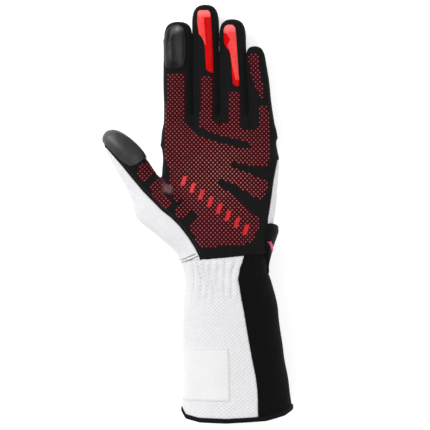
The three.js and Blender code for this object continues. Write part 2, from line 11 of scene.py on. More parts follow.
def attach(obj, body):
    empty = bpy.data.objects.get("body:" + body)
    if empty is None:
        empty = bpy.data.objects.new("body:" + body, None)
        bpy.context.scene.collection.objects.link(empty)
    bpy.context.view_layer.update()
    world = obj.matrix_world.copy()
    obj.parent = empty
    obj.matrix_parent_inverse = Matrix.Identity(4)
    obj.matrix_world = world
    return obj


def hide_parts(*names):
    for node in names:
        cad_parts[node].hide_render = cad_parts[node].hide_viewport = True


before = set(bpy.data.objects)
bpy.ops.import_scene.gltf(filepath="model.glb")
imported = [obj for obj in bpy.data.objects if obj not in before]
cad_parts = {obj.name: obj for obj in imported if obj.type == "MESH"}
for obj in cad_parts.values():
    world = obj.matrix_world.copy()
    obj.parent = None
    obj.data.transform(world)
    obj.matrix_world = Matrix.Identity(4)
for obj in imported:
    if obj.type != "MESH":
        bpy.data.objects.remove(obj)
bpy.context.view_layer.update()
MM = 0.001

# Camera
# It looks straight down on the glove, which lies on the back of its hand, palm up, from
# far enough that the picture is almost flat.
CAMERA_HEIGHT = 1.85
CAMERA_OVER = (-3.6 * MM, -40.0 * MM)
PICTURE_WIDTH = 344 * MM
PICTURE_PLANE = 25 * MM
camera_data = bpy.data.cameras.new("camera")
camera_data.sensor_width = 36
camera_data.lens = camera_data.sensor_width * (CAMERA_HEIGHT - PICTURE_PLANE) / PICTURE_WIDTH
camera_data.clip_start = 0.05
camera_data.clip_end = 20
camera = bpy.data.objects.new("camera", camera_data)
camera.location = (*CAMERA_OVER, CAMERA_HEIGHT)
bpy.context.scene.collection.objects.link(camera)
bpy.context.scene.camera = camera

# The glove's filled-out form
# One skin of cloth and leather over the hand: a sleeve from hem to knuckles, four fingers
# and a thumb, each drawn through its cross-sections and then joined and smoothed. Every
# panel is cut from it afterwards, as from a pattern. Lengths here are millimetres.
ROUNDNESS = 2.35
SLEEVE = np.array([
    # y, middle line, half width, half depth, height of the middle
    (-206, 14.8, 45.5, 30, 27.4),
    (-179.6, 13.4, 42.7, 28.7, 26.1),
    (-153.2, 11, 40.9, 27.9, 25.5),
    (-132.1, 9.6, 39.2, 27, 25.6),
    (-116.2, 8.8, 38, 26.3, 26.8),
    (-107, 8.2, 36.9, 25.7, 27.4),
    (-99, 7.5, 35.7, 25.1, 27.8),
    (-91, 6.6, 34.2, 24.4, 27.9),
    (-84.6, 5.1, 33.5, 24, 27.6),
    (-79.3, 3.8, 34, 24.3, 27.9),
    (-74, 3.2, 35.2, 23.8, 27.3),
    (-62.8, 3.5, 36.5, 23.4, 27),
    (-51.6, 3, 39, 23.1, 25.8),
    (-42.6, 2.6, 41.6, 22.6, 22.2),
    (-31.4, 1.3, 44.3, 21.8, 19.2),
    (-20.2, 0.4, 46.3, 20.6, 18.1),
    (-9, 0.6, 47.3, 19.5, 16.9),
    (4.4, 1.2, 46.6, 18.4, 15.8),
    (13.4, 0, 46.6, 17.5, 14.9),
    (25.7, -0.6, 46.6, 15.4, 13.2),
    (33.5, -0.6, 46.2, 13.4, 13),
    (38, -0.6, 45.4, 11, 13.2),
])
THUMB_ROOT = np.array((-12.0, -74.0))
THUMB_LENGTH = 127.0
THUMB_WIDTH = 26.0
THUMB_AXIS = np.array((-math.sin(math.radians(38.35)), math.cos(math.radians(38.35))))
THUMB_SIDE = np.array((THUMB_AXIS[1], -THUMB_AXIS[0]))
THUMB_MIDDLE, THUMB_CLIMB = 25.8, 5.5
THUMB = np.array([
    # along its length, shift and half width by its width, turn in degrees, depth by width
    (0, 0, 0.78, -1, 0.98),
    (0.084, 0.05, 0.845, 2, 0.9),
    (0.225, 0.045, 0.975, 6, 0.78),
    (0.362, -0.055, 0.885, 17, 0.76),
    (0.47, -0.127, 0.71, 30, 0.82),
    (0.583, -0.08, 0.546, 32, 0.9),
    (0.665, -0.04, 0.504, 31, 0.92),
    (0.739, 0.012, 0.49, 29, 0.92),
    (0.809, 0.05, 0.458, 29, 0.93),
    (0.876, 0.05, 0.408, 30, 0.95),
    (0.941, 0.04, 0.32, 34, 0.98),
    (0.975, 0.032, 0.225, 37, 1),
    (0.993, 0.025, 0.12, 38, 1),
    (1, 0.02, 0.04, 38, 1),
])
FINGER_NAMES = ("index", "middle", "ring", "little")
PALM_WIDTH = 94.6
MIDDLE_LENGTH = 90.8
KNUCKLE_REACH = 38.0
FINGER_DEPTH = 22.0
FINGER_GAP = 0.3
FINGER_MIDDLE, FINGER_CLIMB = 13.7, 8.0
FINGERS = np.array([
    # left and right side at the root and at the tip, length, depth
    (-0.496, -0.237, -0.484, -0.237, 0.848, 1),
    (-0.237, -0.002, -0.24, -0.004, 1, 1),
    (-0.002, 0.255, -0.002, 0.226, 0.871, 0.97),
    (0.255, 0.486, 0.229, 0.389, 0.633, 0.85),
])
FINGER_SECTIONS = np.array([
    # along the finger, width, depth
    (-0.3, 0.9, 0.86),
    (0, 1, 1),
    (0.35, 1, 0.97),
    (0.65, 1, 0.9),
    (0.84, 0.99, 0.84),
    (0.9, 0.94, 0.78),
    (0.95, 0.82, 0.67),
    (0.98, 0.6, 0.5),
    (0.994, 0.36, 0.3),
    (1, 0.1, 0.09),
])
# The fingers are modelled a little apart, so that their skins stay separate, and are
# brought together at the end.
SPREAD = 3.0
KNUCKLE_HALF = 46.6
CREASES = np.array((-22.4, -0.2, 24.1))
CREASE_REACH = 1.2


def smooth_rows(rows, steps):
    """Rows between the given ones, on a smooth curve that keeps to them."""
    slopes = np.gradient(rows, axis=0)
    for i in range(1, len(rows) - 1):
        turns = (rows[i + 1] - rows[i]) * (rows[i] - rows[i - 1]) <= 0
        slopes[i][turns] = 0
    at = np.linspace(0, len(rows) - 1, steps)
    low = np.minimum(at.astype(int), len(rows) - 2)
    t = (at - low)[:, None]
    a, b, u, v = rows[low], rows[low + 1], slopes[low], slopes[low + 1]
    return (a * (2 * t**3 - 3 * t**2 + 1) + u * (t**3 - 2 * t**2 + t)
            + b * (3 * t**2 - 2 * t**3) + v * (t**3 - t**2))


def ring_points(around):
    """The unit cross-section of a limb: across and up."""
    angle = np.linspace(0, 2 * math.pi, around, endpoint=False)
    c, s = np.cos(angle), np.sin(angle)
    power = 2 / ROUNDNESS
    return np.sign(c) * np.abs(c) ** power, np.sign(s) * np.abs(s) ** power


def thumb_rings(rows):
    along, aside, half, turn, plump = rows.T
    centre = (THUMB_ROOT + np.outer(along * THUMB_LENGTH, THUMB_AXIS)
              + np.outer(aside * THUMB_WIDTH, THUMB_SIDE))
    half = half * THUMB_WIDTH
    return centre, THUMB_MIDDLE + THUMB_CLIMB * along, half, half * plump, np.radians(turn)


def finger_rings(finger, rows):
    root_left, root_right, tip_left, tip_right, long, deep = finger
    along, wide, depth = rows.T
    left = (root_left + (tip_left - root_left) * along) * PALM_WIDTH
    right = (root_right + (tip_right - root_right) * along) * PALM_WIDTH
    centre = np.stack([(left + right) / 2, KNUCKLE_REACH + along * long * MIDDLE_LENGTH], axis=1)
    middle = FINGER_MIDDLE + FINGER_CLIMB * np.maximum(along, 0) ** 1.6
    return centre, middle, wide * (right - left - FINGER_GAP) / 2, depth * deep * FINGER_DEPTH / 2


def add_loft(bm, centre, middle, half, deep, turn, around):
    """A closed soft tube through its rings, pressed flat where it rests on the table."""
    across, up = ring_points(around)
    rings = []
    for (x, y), z, w, d, a in zip(centre, middle, half, deep, turn):
        ring = [bm.verts.new((x + w * s * math.cos(a), y + w * s * math.sin(a), max(z + d * u, 0)))
                for s, u in zip(across, up)]
        rings.append(ring)
    for first, second in zip(rings, rings[1:]):
        for i in range(around):
            j = (i + 1) % around
            bm.faces.new((first[i], second[i], second[j], first[j]))
    bm.faces.new(rings[0])
    bm.faces.new(rings[-1][::-1])


def finger_shift(i):
    return (i - 1.5) * SPREAD


def in_scene(name, data):
    made = bpy.data.objects.new(name, data)
    bpy.context.scene.collection.objects.link(made)
    return made


SPREAD_RATE = finger_shift(3) / KNUCKLE_HALF


def spread_ramp(y):
    t = np.clip((y - 4) / 24, 0, 1)
    return t * t * (3 - 2 * t)


SKIN_GRAIN = 1.15
form_mesh = bmesh.new()
rows = smooth_rows(SLEEVE, 150)
past_hem = rows[0].copy()
past_hem[0] -= 6
rows = np.vstack([past_hem, rows])
stretch = 1 + spread_ramp(rows[:, 0]) * SPREAD_RATE
add_loft(form_mesh, np.stack([rows[:, 1] * stretch, rows[:, 0]], axis=1), rows[:, 4], rows[:, 2] * stretch,
         rows[:, 3], np.zeros(len(rows)), around=160)
add_loft(form_mesh, *thumb_rings(smooth_rows(THUMB, 110)), around=96)
for i, finger in enumerate(FINGERS):
    centre, middle, half, deep = finger_rings(finger, smooth_rows(FINGER_SECTIONS, 90))
    centre[:, 0] += finger_shift(i)
    add_loft(form_mesh, centre, middle, half, deep, np.zeros(len(half)), around=80)
bmesh.ops.scale(form_mesh, vec=(MM, MM, MM), verts=form_mesh.verts)
form_data = bpy.data.meshes.new("form")
form_mesh.to_mesh(form_data)
form_mesh.free()
form_object = in_scene("form", form_data)
remesh = form_object.modifiers.new("skin", "REMESH")
remesh.mode = "VOXEL"
remesh.voxel_size = SKIN_GRAIN * MM
skin = bpy.data.meshes.new_from_object(form_object.evaluated_get(bpy.context.evaluated_depsgraph_get()))
points = np.empty(len(skin.vertices) * 3)
skin.vertices.foreach_get("co", points)
points = points.reshape(-1, 3) / MM
quads = np.array([tuple(p.vertices) for p in skin.polygons])
bpy.data.objects.remove(form_object)
bpy.data.meshes.remove(skin)

LIMB_FLESH = 3.0


def limb(origin, axis, rings):
    """A limb's centre line, widths and depths by the distance along its axis."""
    centre, middle, half, deep = rings[:4]
    side = np.array((axis[1], -axis[0]))
    return {
        "origin": origin, "axis": axis, "side": side, "at": (centre - origin) @ axis,
        "aside": (centre - origin) @ side, "middle": middle, "half": half, "deep": deep,
    }


def seen_from(one, p):
    """For points: how far outside the limb, how far from its middle line and above it."""
    q = p[:, :2] - one["origin"]
    t = q @ one["axis"]
    half = np.interp(t, one["at"], one["half"])
    deep = np.interp(t, one["at"], one["deep"])
    across = q @ one["side"] - np.interp(t, one["at"], one["aside"])
    up = p[:, 2] - np.interp(t, one["at"], one["middle"])
    reach = ((np.abs(across) / half) ** ROUNDNESS + (np.abs(up) / deep) ** ROUNDNESS) ** (1 / ROUNDNESS)
    past = np.maximum(one["at"][0] - t, t - one["at"][-1])
    outside = np.maximum((reach - 1) * np.minimum(half, deep), past)
    return outside, np.minimum(half + LIMB_FLESH - np.abs(across), LIMB_FLESH - past), up


dense_sleeve = smooth_rows(SLEEVE, 300)
UP = np.array((0.0, 1.0))
sleeve_limb = limb(np.zeros(2), UP, (dense_sleeve[:, (1, 0)], dense_sleeve[:, 4], dense_sleeve[:, 2],
                                     dense_sleeve[:, 3]))
thumb_limb = limb(THUMB_ROOT, THUMB_AXIS, thumb_rings(smooth_rows(THUMB, 200)))
finger_limbs = [limb(np.zeros(2), UP, finger_rings(finger, smooth_rows(FINGER_SECTIONS, 200)))
                for finger in FINGERS]


def edges_of(quads):
    pairs = np.concatenate([quads[:, (i, (i + 1) % quads.shape[1])] for i in range(quads.shape[1])])
    return np.unique(np.sort(pairs, axis=1), axis=0)


def softened(p, edges, share, rounds):
    """Points drawn towards the middle of their neighbours; share is 0 to 1 for each."""
    a, b = np.concatenate([edges, edges[:, ::-1]]).T
    count = np.bincount(a, minlength=len(p))[:, None]
    for _ in range(rounds):
        total = np.stack([np.bincount(a, weights=p[b, k], minlength=len(p)) for k in range(3)], axis=1)
        p = p + share[:, None] * (total / count - p)
    return p


def normals_of(p, tris):
    a, b, c = (p[tris[:, k]] for k in range(3))
    face = np.cross(b - a, c - a)
    total = np.stack([sum(np.bincount(tris[:, k], weights=face[:, j], minlength=len(p)) for k in range(3))
                      for j in range(3)], axis=1)
    return total / np.maximum(np.linalg.norm(total, axis=1, keepdims=True), 1e-9)


def bump(value, middle, reach):
    return np.exp(-((value - middle) / reach) ** 2)


def step(value, start, end):
    t = np.clip((value - start) / (end - start), 0, 1)
    return t * t * (3 - 2 * t)


HAND_EDGE = 56
THUMB_EDGE = -54.5
edges = edges_of(quads)
points = softened(points, edges, np.full(len(points), 0.5), 5)
near_sleeve = seen_from(sleeve_limb, points)[0]
near_thumb = seen_from(thumb_limb, points)[0]
thumb_join = np.exp(-(np.maximum(near_sleeve, near_thumb) / 6.0) ** 2) * (points[:, 1] < 8)
finger_join = bump(points[:, 1], 33, 9) * (np.abs(points[:, 0]) < HAND_EDGE)
points = softened(points, edges, 0.6 * np.clip(thumb_join + 0.75 * finger_join, 0, 1), 60)

OFF_TABLE = 0.3
# The fingers are drawn in from both sides until they touch.
CLOSER = 0.75 + 0.5 * bump(points[:, 1], 46, 14)
shift = spread_ramp(points[:, 1])
together = points[:, 0] / (1 + shift * SPREAD_RATE * (points[:, 0] > THUMB_EDGE))
crease_slant = np.array((0.0, 0.0, -0.036))
moved = np.zeros(len(points))
for i, (place, slant) in enumerate(zip(CREASES, crease_slant)):
    spread_place = (place + (finger_shift(i) + finger_shift(i + 1)) / 2
                    + slant * (points[:, 1] - KNUCKLE_REACH))
    moved += (SPREAD + CLOSER) * step(points[:, 0], spread_place - CREASE_REACH, spread_place + CREASE_REACH)
apart = points[:, 0] - (finger_shift(0) - 1.5 * CLOSER + moved)
mixed = step(points[:, 1], 25, 35) * (points[:, 0] > -HAND_EDGE)
points[:, 0] = together * (1 - mixed) + apart * mixed
points[:, 2] = np.maximum(points[:, 2], OFF_TABLE)

# Dents, folds and gathers of the filled-out glove
# The palm is hollow in the middle and the cloth lies in soft folds; elastic sewn inside
# the wrist gathers the front of the cuff into upright pleats.
tris = np.concatenate([quads[:, (0, 1, 2)], quads[:, (0, 2, 3)]])
normals = normals_of(points, tris)
x, y, z = points.T
front = np.clip(normals[:, 2], 0, 1)
DENTS = (
    # x, y, reach across, reach along, depth
    (2, -14, 22, 20, 3.2),
    (-27, -22, 9, 16, 1.2),
    (1, -72, 30, 5, 1.2),
    (-44, -20, 5, 12, 1.2),
    (26, 33, 22, 4, 1),
    (-24, 35, 24, 4, 1),
)
FOLDS = (
    # from x, y to x, y, reach, height
    (-47, -13.5, -37, -24, 3.2, 1.5),
    (-41.5, -20.5, -36.5, -15.5, 2.4, 0.7),
    (-52.5, -17, -41, -27.5, 2.4, 0.7),
    (-34, 4, -21, -3, 2.6, 0.5),
)


def to_line(x, y, ax, ay, bx, by):
    """How far places lie from the stretch a to b, and what share of it they lie along."""
    px, py, ex, ey = x - ax, y - ay, bx - ax, by - ay
    t = np.clip((px * ex + py * ey) / max(ex * ex + ey * ey, 1e-9), 0, 1)
    return np.hypot(px - t * ex, py - t * ey), t


def fold_at(x, y, folds=FOLDS):
    """How high the soft folds stand at a place; each is lower towards its ends."""
    height = 0
    for *line, reach, high in folds:
        away, t = to_line(x, y, *line)
        height = height + high * bump(away, 0, reach) * (1 - 0.6 * np.abs(2 * t - 1))
    return height


depth = -fold_at(x, y) + sum(deep * bump(x, at, wide) * bump(y, along, long)
                             for at, along, wide, long, deep in DENTS)
PLEAT_PITCH, PLEAT_HEIGHT = 5.4, 1.9
wander = x + 1.5 * np.sin(y / 8 + x / 9) + 0.7 * np.sin(y / 4.1 + x / 3)
pleat = np.abs(np.sin(math.pi * wander / PLEAT_PITCH)) ** 0.7 - 0.6
gathered = (step(y, -112, -98) * (1 - step(y, -79, -73)) * step(x, -31, -17) * (1 - step(x, 11, 17))
            * (1.9 - 0.9 * step(x, -16, 0)))
WAVE_HEIGHT = 0.28
waves = (np.sin(x / 7.3 + 1.3 * np.sin(y / 11.0)) * np.sin(y / 8.1 + x / 19.0)
         + 0.6 * np.sin(y / 5.1 + z / 4.3 + x / 15))
soft = WAVE_HEIGHT * waves * (1 - 0.6 * step(y, 20, 40))
raised = soft * (z > 1) - depth * front + PLEAT_HEIGHT * pleat * gathered * front
points = points + normals * raised[:, None]
points[:, 2] = np.maximum(points[:, 2], OFF_TABLE)
normals = normals_of(points, tris)
skin_data = np.hstack([points, normals])
skin_tree = BVHTree.FromPolygons([tuple(p) for p in points], [tuple(t) for t in tris.tolist()])

# Patterns
# Each panel is cut out of the skin along drawn lines, its edge rolled in and turned down
# like a seam's, so that neighbours meet in a groove.
def inside_of(outline):
    """A field: how far inside the outline, seen from above, and negative outside."""
    a = np.array(outline, dtype=float)
    b = np.roll(a, -1, axis=0)

    def field(p):
        nearest = np.full(len(p), 1e9)
        inside = np.zeros(len(p), dtype=bool)
        x, y = p[:, 0], p[:, 1]
        for (ax, ay), (bx, by) in zip(a, b):
            nearest = np.minimum(nearest, to_line(x, y, ax, ay, bx, by)[0])
            if by != ay:
                inside ^= ((ay > y) != (by > y)) & (x - ax < (bx - ax) * (y - ay) / (by - ay))
        return np.where(inside, nearest, -nearest)
    return field


def front_side(p):
    """How far a point lies in front of the seam along the sides of its limb."""
    best = np.full(len(p), -99.0)
    for one in (sleeve_limb, thumb_limb, *finger_limbs):
        _, room, up = seen_from(one, p)
        best = np.maximum(best, np.minimum(up, room))
    return best


def clipped(data, tris, field):
    """The part of a mesh where the field is over nought, cut cleanly along the line."""
    value = field(data)
    value[np.abs(value) < 0.03] = 0.03
    keep = value > 0
    count = keep[tris].sum(axis=1)
    whole = tris[count == 3]
    made, extra, out = {}, [], []

    def between(a, b):
        key = (a, b) if a < b else (b, a)
        if key not in made:
            made[key] = len(data) + len(extra)
            extra.append(key)
        return made[key]

    for face in tris[(count == 1) | (count == 2)].tolist():
        kept = [bool(keep[corner]) for corner in face]
        alone = sum(kept) == 1
        turn = kept.index(alone)
        a, b, c = face[turn:] + face[:turn]
        ab, ac = between(a, b), between(a, c)
        if alone:
            out.append((a, ab, ac))
        else:
            out += [(ab, b, c), (ab, c, ac)]
    if extra:
        a, b = np.array(extra).T
        t = (value[a] / (value[a] - value[b]))[:, None]
        data = np.vstack([data, data[a] + t * (data[b] - data[a])])
        whole = np.vstack([whole, np.array(out)])
    used = np.unique(whole)
    place = np.zeros(len(data), dtype=int)
    place[used] = np.arange(len(used))
    return data[used], place[whole]


def refined(data, tris):
    """The same mesh with each triangle cut in four."""
    pairs = edges_of(tris)
    middle = (data[pairs[:, 0]] + data[pairs[:, 1]]) / 2
    key = pairs[:, 0] * len(data) + pairs[:, 1]

    def at(a, b):
        low, high = np.minimum(a, b), np.maximum(a, b)
        return len(data) + np.searchsorted(key, low * len(data) + high)
    a, b, c = tris.T
    ab, bc, ca = at(a, b), at(b, c), at(c, a)
    quarters = ((a, ab, ca), (ab, b, bc), (ca, bc, c), (ab, bc, ca))
    return np.vstack([data, middle]), np.concatenate([np.stack(one, axis=1) for one in quarters])


def cut_from(data, tris, *fields):
    """The part of a mesh that lies inside all the fields."""
    for field in fields:
        data, tris = clipped(data, tris, field)
    return data, tris


def border_of(tris):
    """The edges that one face alone uses, in that face's direction."""
    pairs = np.concatenate([tris[:, (0, 1)], tris[:, (1, 2)], tris[:, (2, 0)]])
    key = np.sort(pairs, axis=1) @ np.array((tris.max() + 1, 1))
    _, first, number = np.unique(key, return_index=True, return_counts=True)
    return pairs[first[number == 1]]


def border_distance(data, tris):
    """How far each point of a cut lies from its edge."""
    rim = np.unique(border_of(tris))
    tree = KDTree(len(rim))
    for i, p in enumerate(data[rim, :3]):
        tree.insert(p, i)
    tree.balance()
    return np.array([tree.find(p)[2] for p in data[:, :3]])


def sewn(name, data, tris, finish, slot, nodes, roll=0.8, deep=1.2, lift=0.0, crown=None, marks=None,
         uv=None):
    """A piece of the glove from its cut: raised by lift, edge rolled in and turned down."""
    distance = border_distance(data, tris)
    rounding = roll * (1 - np.sqrt(np.clip(1 - (1 - np.minimum(distance / roll, 1)) ** 2, 0, 1)))
    raised = lift - rounding + (crown(data, distance) if crown else 0)
    normals = data[:, 3:6] / np.linalg.norm(data[:, 3:6], axis=1, keepdims=True)
    top = data[:, :3] + normals * raised[:, None]
    pairs = border_of(tris)
    rim = np.unique(pairs)
    below = np.full(len(data), -1)
    below[rim] = len(top) + np.arange(len(rim))
    foot = data[rim, :3] - normals[rim] * (deep + min(lift, 0))
    a, b = pairs.T
    skirt = np.concatenate([np.stack([b, a, below[a]], axis=1), np.stack([b, below[a], below[b]], axis=1)])
    place = np.vstack([top, foot])
    place[:, 2] = np.maximum(place[:, 2], OFF_TABLE / 2)
    mesh = bpy.data.meshes.new(name)
    mesh.from_pydata((place * MM).tolist(), [], np.vstack([tris, skirt]).tolist())
    for label, values in (marks or {}).items():
        layer = mesh.attributes.new(label, "FLOAT", "POINT")
        layer.data.foreach_set("value", np.concatenate([values, values[rim]]))
    if uv is not None:
        both = np.vstack([uv, uv[rim]])
        layer = mesh.uv_layers.new(name="cloth")
        corner = np.empty(len(mesh.loops), dtype=np.int32)
        mesh.loops.foreach_get("vertex_index", corner)
        layer.data.foreach_set("uv", both[corner].ravel())
    mesh.shade_smooth()
    mesh.materials.append(finish)
    worn(in_scene(name, mesh), slot, nodes)


def worn(made, slot, nodes):
    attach(made, "root")
    if nodes:
        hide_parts(*nodes)


# Palm
# The front of the hand, fingers and thumb in one piece of black synthetic suede, turned in
# along its edges. Dark red silicone is printed on it in zones, under rows of dots, and a
# painted highlight lies pale grey on the folds beside the thumb.
WRIST_SEAM = (-73.9, 0.086)
LEFT_EDGE = [
    (-127.6, 52), (-99.6, 21.6), (-93.2, 16.8), (-90.8, 13.6), (-86, 8), (-78, -0.8),
    (-70, -10.4), (-61.2, -20.8), (-51.6, -30.4), (-45.2, -36.8), (-38, -42.4), (-31.6, -48.8),
    (-24.4, -58.4), (-19.6, -66.4), (-16.4, -72.8), (-15.2, -77.6),
]
RIGHT_EDGE = [
    (38.8, -88), (38.8, -44), (40.4, -34.4), (42, -24), (43.6, -12), (45.2, -4),
    (46.8, 4), (47.6, 10.4), (51.6, 16.8), (64.4, 21.6),
]
PALM_OUTLINE = [*LEFT_EDGE, *RIGHT_EDGE, (150, 150), (-150, 150), (-150, 40)]
in_palm = inside_of(PALM_OUTLINE)
THUMB_CAP = [(-92.4, 12.0), (-98.8, 19.2), (-98.8, 29.6), (-89.2, 36.0), (-78.0, 31.2), (-80.4, 20.0)]
in_thumb_cap = inside_of(THUMB_CAP)


def wrist_line(p):
    return p[:, 1] - WRIST_SEAM[0] - WRIST_SEAM[1] * p[:, 0]


def on_palm(p):
    return np.minimum(front_side(p), in_palm(p))


PALM_ZONES = (
    [
        (-41.2, 73.6), (-27.6, 73.6), (-27.2, 52), (-27.6, 34.4), (-23.6, 32.4), (-18, 28.8),
        (-16, 34.4), (-15.2, 52), (-15.6, 71.2), (-5.2, 71.2), (-4.8, 52), (-5.2, 35.2),
        (-4.4, 34.4), (6, 34.4), (6.8, 36), (7.2, 48), (6.8, 59.2), (16.4, 59.2), (17.2, 48),
        (16.8, 32.8), (18.8, 28.4), (30, 28.4), (31.6, 31.2), (31.6, 47.2), (38.8, 47.2),
        (40.4, 37.6), (40.4, 32), (40.8, 20), (40.4, 5.6), (38.8, 1.6), (38.8, -15.2),
        (38.4, -20), (35.6, -25.6), (31.6, -28.8), (28.4, -29.6), (29.2, -36), (31.6, -43.2),
        (31.6, -48.8), (30, -54.4), (26.8, -59.2), (22.8, -62.4), (16.4, -64), (8.4, -64.4),
        (-3.6, -65.2), (-11.6, -66), (-15.6, -65.6), (-17.2, -63.2), (-19.6, -58.4), (-22.8, -53.6),
        (-24.4, -49.6), (-22.8, -46.4), (-19.6, -43.2), (-16.4, -40.8), (-21.2, -37.6), (-23.6, -38.4),
        (-26, -41.6), (-29.2, -43.2), (-33.2, -42.4), (-35.6, -38.4), (-34.8, -35.2), (-30, -30.4),
        (-30, -28), (-33.2, -30.4), (-38, -24.8), (-41.2, -21.6), (-39.6, -10.4), (-41.2, 0),
        (-44.4, 4), (-44.4, 20), (-43.6, 40), (-42, 60),
    ],
    [
        (-66, -5.6), (-62.8, -0.8), (-57.2, 3.6), (-54, 1.6), (-50, -6.4), (-55.6, -10.4),
        (-60.8, -14.4), (-64, -10.4),
    ],
    [
        (-55.6, -16.8), (-51.6, -12.8), (-47.6, -10.4), (-45.2, -10.4), (-41.2, -14.4), (-38, -20),
        (-43.6, -24), (-38, -28), (-38, -32.8), (-41.2, -35.2), (-45.2, -33.6), (-50, -29.6),
        (-54, -24),
    ],
    [
        (22.8, 86.4), (25.2, 88.8), (29.2, 89.6), (30.8, 87.2), (31.6, 82.4), (32.4, 76),
        (34, 68), (35.6, 60), (36, 54.4), (34.8, 52.4), (31.6, 55.2), (29.2, 60),
        (27.6, 66.4), (25.2, 72.8), (23.6, 79.2),
    ],
)
CHANNELS = (
    # x, y, half width
    [
        (-25.2, 35.2, 2.7), (-21.2, 31.2, 2.9), (-15.6, 26.8, 2.7), (-7.6, 23, 2.6), (2.8, 20, 2.6),
        (12.4, 17.6, 2.7), (21.2, 15.4, 2.6),
    ],
    [(12, 0, 2.2), (20.4, -2.9, 2.6), (29.2, -5.2, 3.4), (40.4, -7.6, 6.4)],
    [
        (1.2, -14, 2.6), (10.8, -19.6, 3.6), (18.8, -25.2, 4.2), (25.2, -30.8, 4.8), (31.6, -35.2, 6),
        (39.6, -38.4, 8.4),
    ],
)
zone_fields = [inside_of(zone) for zone in PALM_ZONES]


def printed(p):
    """How far inside the printed zones, and outside the bare channels across them."""
    best = np.max([field(p) for field in zone_fields], axis=0)
    for stroke in CHANNELS:
        for (ax, ay, ar), (bx, by, br) in zip(stroke, stroke[1:]):
            away, t = to_line(p[:, 0], p[:, 1], ax, ay, bx, by)
            best = np.minimum(best, away - (ar + t * (br - ar)))
    return best


def node(tree, kind, inputs, **settings):
    """A shader node with its sockets set or linked."""
    made = tree.nodes.new(kind)
    for key, value in settings.items():
        setattr(made, key, value)
    for key, value in inputs.items():
        if isinstance(value, bpy.types.NodeSocket):
            tree.links.new(value, made.inputs[key])
        else:
            made.inputs[key].default_value = value
    return made


def finish_of(name, rough, gloss=0.5, sheen=0.0):
    """A material with one shader, whose plain numbers are set on its own sockets."""
    material = bpy.data.materials.new(name)
    material.use_nodes = True
    tree = material.node_tree
    tree.nodes.clear()
    shader = node(tree, "ShaderNodeBsdfPrincipled", {
        "Roughness": rough, "Specular IOR Level": gloss, "Sheen Weight": sheen})
    node(tree, "ShaderNodeOutputMaterial", {"Surface": shader.outputs[0]})
    return material, tree, shader


def coloured(tree, shader, colour):
    tree.links.new(colour, shader.inputs["Base Color"])


def on_object(tree):
    return node(tree, "ShaderNodeTexCoord", {}).outputs["Object"]


def attribute(tree, name):
    return node(tree, "ShaderNodeAttribute", {}, attribute_name=name).outputs["Fac"]


def blend(tree, share, first, second):
    """One colour going over into another as the share goes from 0 to 1."""
    return node(tree, "ShaderNodeMix", {0: share, 6: first, 7: second}, data_type="RGBA").outputs[2]


def grain(tree, scale, detail=3.0, where=None):
    where = where or on_object(tree)
    return node(tree, "ShaderNodeTexNoise", {"Vector": where, "Scale": scale, "Detail": detail}).outputs[0]


def shades(tree, value, *stops):
    """A colour ramp: each stop is a place and a grey or a colour."""
    ramp = node(tree, "ShaderNodeValToRGB", {"Fac": value})
    steps = ramp.color_ramp.elements
    while len(steps) < len(stops):
        steps.new(0.5)
    for element, (place, colour) in zip(steps, stops):
        element.position = place
        element.color = (*colour, 1) if isinstance(colour, tuple) else (colour, colour, colour, 1)
    return ramp.outputs[0]


def math_of(tree, operation, *values):
    return node(tree, "ShaderNodeMath", dict(enumerate(values)), operation=operation).outputs[0]


def plus(tree, whole, other, share):
    return math_of(tree, "ADD", whole, math_of(tree, "MULTIPLY", other, share))


def raised_by(tree, shader, height, depth):
    made = node(tree, "ShaderNodeBump", {"Height": height, "Strength": 1.0, "Distance": depth})
    tree.links.new(made.outputs[0], shader.inputs["Normal"])


suede, tree, shader = finish_of("black_suede", 0.88, 0.06, 0.07)
shader.inputs["Sheen Roughness"].default_value = 0.4
zone = attribute(tree, "printed")
inside = math_of(tree, "GREATER_THAN", zone, 0.2)
nap = grain(tree, 900.0, 4.0)
patches = grain(tree, 160.0, 2.0)
suede_shade = shades(tree, nap, (0.35, (0.006, 0.006, 0.0064)), (0.7, (0.0105, 0.0105, 0.0113)))
print_shade = shades(tree, nap, (0.38, (0.016, 0.0005, 0.0012)), (0.62, (0.07, 0.001, 0.0035)))
# Painted highlight: the colour is mixed towards pale grey on the folds beside the thumb.
painted_fold_highlight = math_of(tree, "MULTIPLY", attribute(tree, "painted_fold_highlight"), math_of(tree, "ADD", nap, -0.1))
shade = blend(tree, inside, suede_shade, print_shade)
coloured(tree, shader, blend(tree, painted_fold_highlight, shade, (0.45, 0.37, 0.37, 1)))
smooth_print = node(tree, "ShaderNodeMapRange", {"Value": zone, 1: -0.3, 2: 0.3, 3: 0.88, 4: 0.68})
tree.links.new(smooth_print.outputs[0], shader.inputs["Roughness"])
raised_by(tree, shader, plus(tree, nap, patches, 0.7), 0.00015)

PRINT_HEIGHT = 0.3
palm_data, palm_tris = cut_from(skin_data, tris, wrist_line, on_palm)
# Where the painted highlight lies, on the folds beside the thumb.
on_folds = step(fold_at(palm_data[:, 0], palm_data[:, 1]), 0.5, 1.4)
sewn("palm_suede", palm_data, palm_tris, suede, "black_suede", ["palm_panel"], roll=0.9,
     marks={"printed": printed(palm_data), "painted_fold_highlight": 0.55 * on_folds},
     crown=lambda data, distance: PRINT_HEIGHT * step(printed(data), 0.0, 0.8))

# Back of the hand, fingers and thumb
# White stretch cloth over the back, brought round to the front beside the thumb, and black
# cloth on the fingers and the thumb's tip, sewn to the palm along the sides.
KNUCKLE_LINE = np.array([(-75.7, 11.7), (75.7, 2.2)])
INDEX_SIDE = -54
CLOTH_RELIEF = 0.00012


